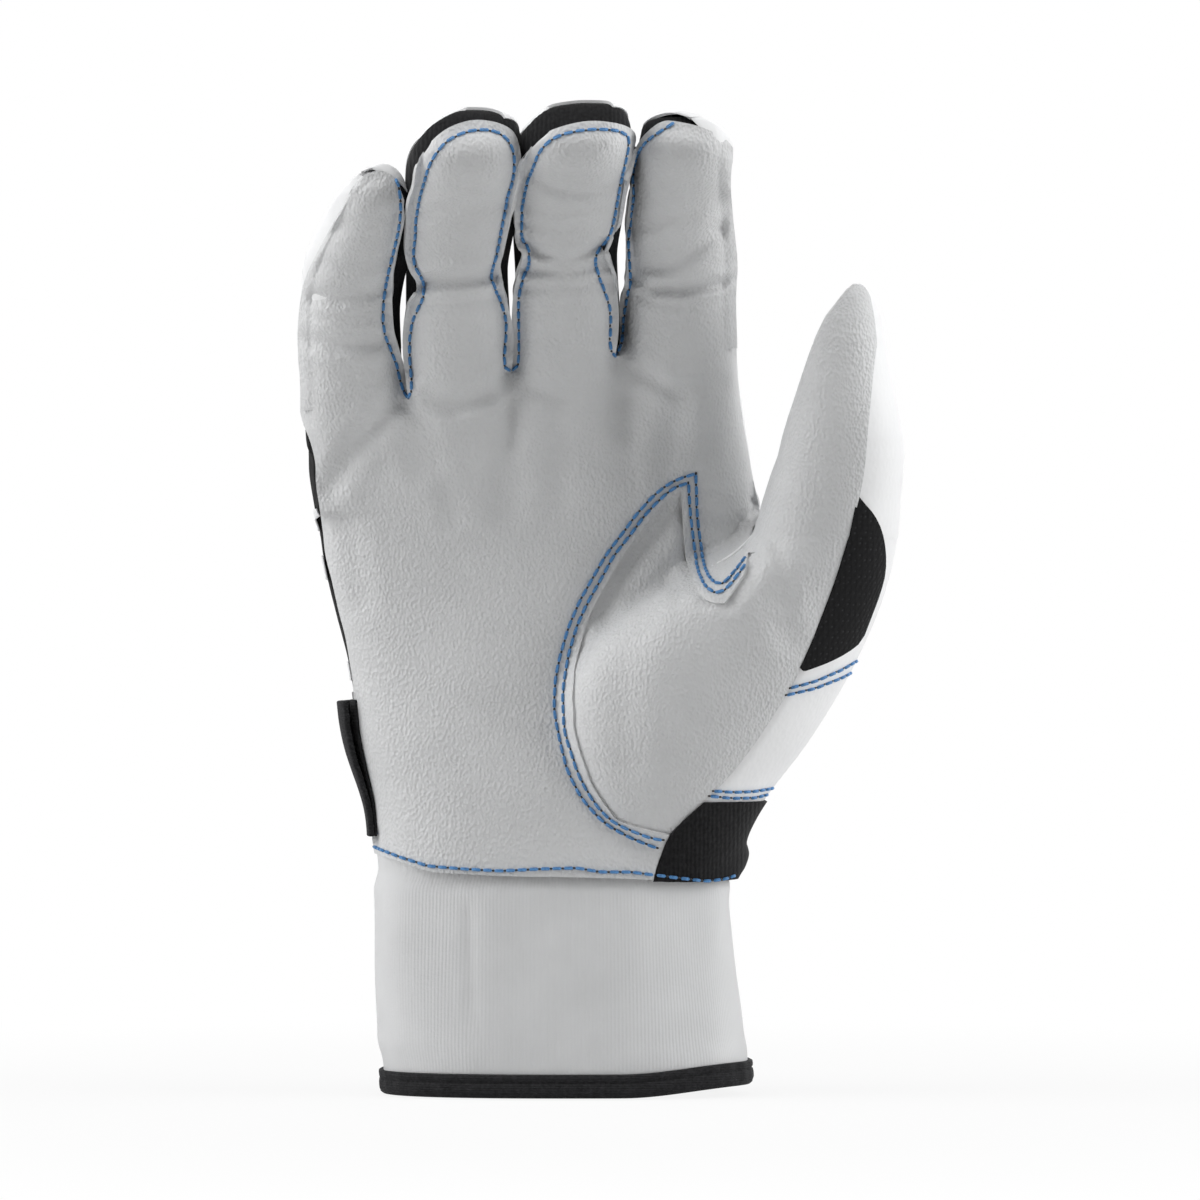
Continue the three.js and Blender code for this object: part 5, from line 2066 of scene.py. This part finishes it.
# Stage, light and camera
def plainLook(name, color):
    look = bpy.data.materials.new(name)
    look.use_nodes = True
    tree = look.node_tree
    tree.nodes.clear()
    out = tree.nodes.new("ShaderNodeOutputMaterial")
    lit = tree.nodes.new("ShaderNodeBsdfDiffuse")
    lit.inputs["Color"].default_value = (*color, 1)
    glow = tree.nodes.new("ShaderNodeEmission")
    glow.inputs["Color"].default_value = (1, 1, 1, 1)
    glow.inputs["Strength"].default_value = 1
    mix = tree.nodes.new("ShaderNodeMixShader")
    place = tree.nodes.new("ShaderNodeTexCoord").outputs["Object"]
    away = nodeOf(tree, "ShaderNodeVectorMath", operation="LENGTH")
    tree.links.new(place, away.inputs[0])
    fade = nodeOf(tree, "ShaderNodeMapRange", interpolation_type="SMOOTHSTEP")
    fade.inputs["From Min"].default_value = 0.1
    fade.inputs["From Max"].default_value = 0.3
    fade.inputs["To Min"].default_value = 0.88
    tree.links.new(away.outputs["Value"], fade.inputs["Value"])
    seen = tree.nodes.new("ShaderNodeLightPath")
    both = nodeOf(tree, "ShaderNodeMath", operation="MAXIMUM")
    tree.links.new(seen.outputs["Is Camera Ray"], both.inputs[0])
    tree.links.new(seen.outputs["Is Glossy Ray"], both.inputs[1])
    share = nodeOf(tree, "ShaderNodeMath", operation="MULTIPLY")
    tree.links.new(fade.outputs["Result"], share.inputs[0])
    tree.links.new(both.outputs[0], share.inputs[1])
    tree.links.new(share.outputs[0], mix.inputs[0])
    tree.links.new(lit.outputs[0], mix.inputs[1])
    tree.links.new(glow.outputs[0], mix.inputs[2])
    tree.links.new(mix.outputs[0], out.inputs[0])
    return look


floorMesh = bpy.data.meshes.new("floor")
bm = bmesh.new()
bmesh.ops.create_grid(bm, x_segments=2, y_segments=2, size=6)
bm.to_mesh(floorMesh)
bm.free()
floor = makeObject("floor", floorMesh, plainLook("floorLook", (0.7, 0.7, 0.7)))
floor.location.z = -0.0003
floor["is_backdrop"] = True

world = bpy.data.worlds.new("studio")
bpy.context.scene.world = world
world.use_nodes = True
tree = world.node_tree
background = tree.nodes["Background"]
background.inputs["Color"].default_value = (1, 1, 1, 1)
path = tree.nodes.new("ShaderNodeLightPath")
bright = nodeOf(tree, "ShaderNodeMath", operation="ADD")
tree.links.new(path.outputs["Is Camera Ray"], bright.inputs[0])
tree.links.new(path.outputs["Is Glossy Ray"], bright.inputs[1])
more = nodeOf(tree, "ShaderNodeMath", operation="ADD")
more.use_clamp = True
tree.links.new(bright.outputs[0], more.inputs[0])
tree.links.new(path.outputs["Is Transmission Ray"], more.inputs[1])
level = nodeOf(tree, "ShaderNodeMapRange")
level.inputs["To Min"].default_value = 0.07
level.inputs["To Max"].default_value = 1.0
tree.links.new(more.outputs[0], level.inputs["Value"])
tree.links.new(level.outputs["Result"], background.inputs["Strength"])


def addLight(name, place, aim, size, watts):
    light = bpy.data.lights.new(name, "AREA")
    light.shape = "RECTANGLE"
    light.size, light.size_y = size
    light.energy = watts
    obj = bpy.data.objects.new(name, light)
    obj.location = place
    obj.rotation_euler = (Vector(aim) - Vector(place)).to_track_quat("-Z", "Y").to_euler()
    bpy.context.scene.collection.objects.link(obj)


# Where each lamp stands, what it points at, its two sides in metres and its watts.
lamps = {
    "leftSoft": ((-0.9, -0.17, 0.55), (0, 0, 0.11), (0.7, 0.9), 8.6),
    "rightSoft": ((0.95, -0.17, 0.5), (0, 0, 0.11), (0.7, 0.9), 8.8),
    "topSoft": ((0, -0.22, 1.1), (0, 0, 0.1), (0.8, 0.6), 5.0),
    "backSoft": ((0.2, 1.3, 0.7), (0, 0, 0.1), (0.8, 0.6), 3.5),
    "frontSoft": ((-0.1, -1.3, 0.5), (0, 0, 0.1), (0.6, 0.6), 0.05),
}
for name, lamp in lamps.items():
    addLight(name, *lamp)

camera = bpy.data.cameras.new("camera")
camera.sensor_width = 36
camera.lens = camera.sensor_width * -eye.y / (pictureWidth * point)
camera.clip_start = 0.05
cameraObj = bpy.data.objects.new("camera", camera)
cameraObj.location = eye
cameraObj.rotation_euler = (math.radians(90), 0, 0)
bpy.context.scene.collection.objects.link(cameraObj)
bpy.context.scene.camera = cameraObj
bpy.context.scene.view_settings.view_transform = "Standard"

asLists = [[list(corner) for corner in box] for box in (cadBox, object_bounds())]
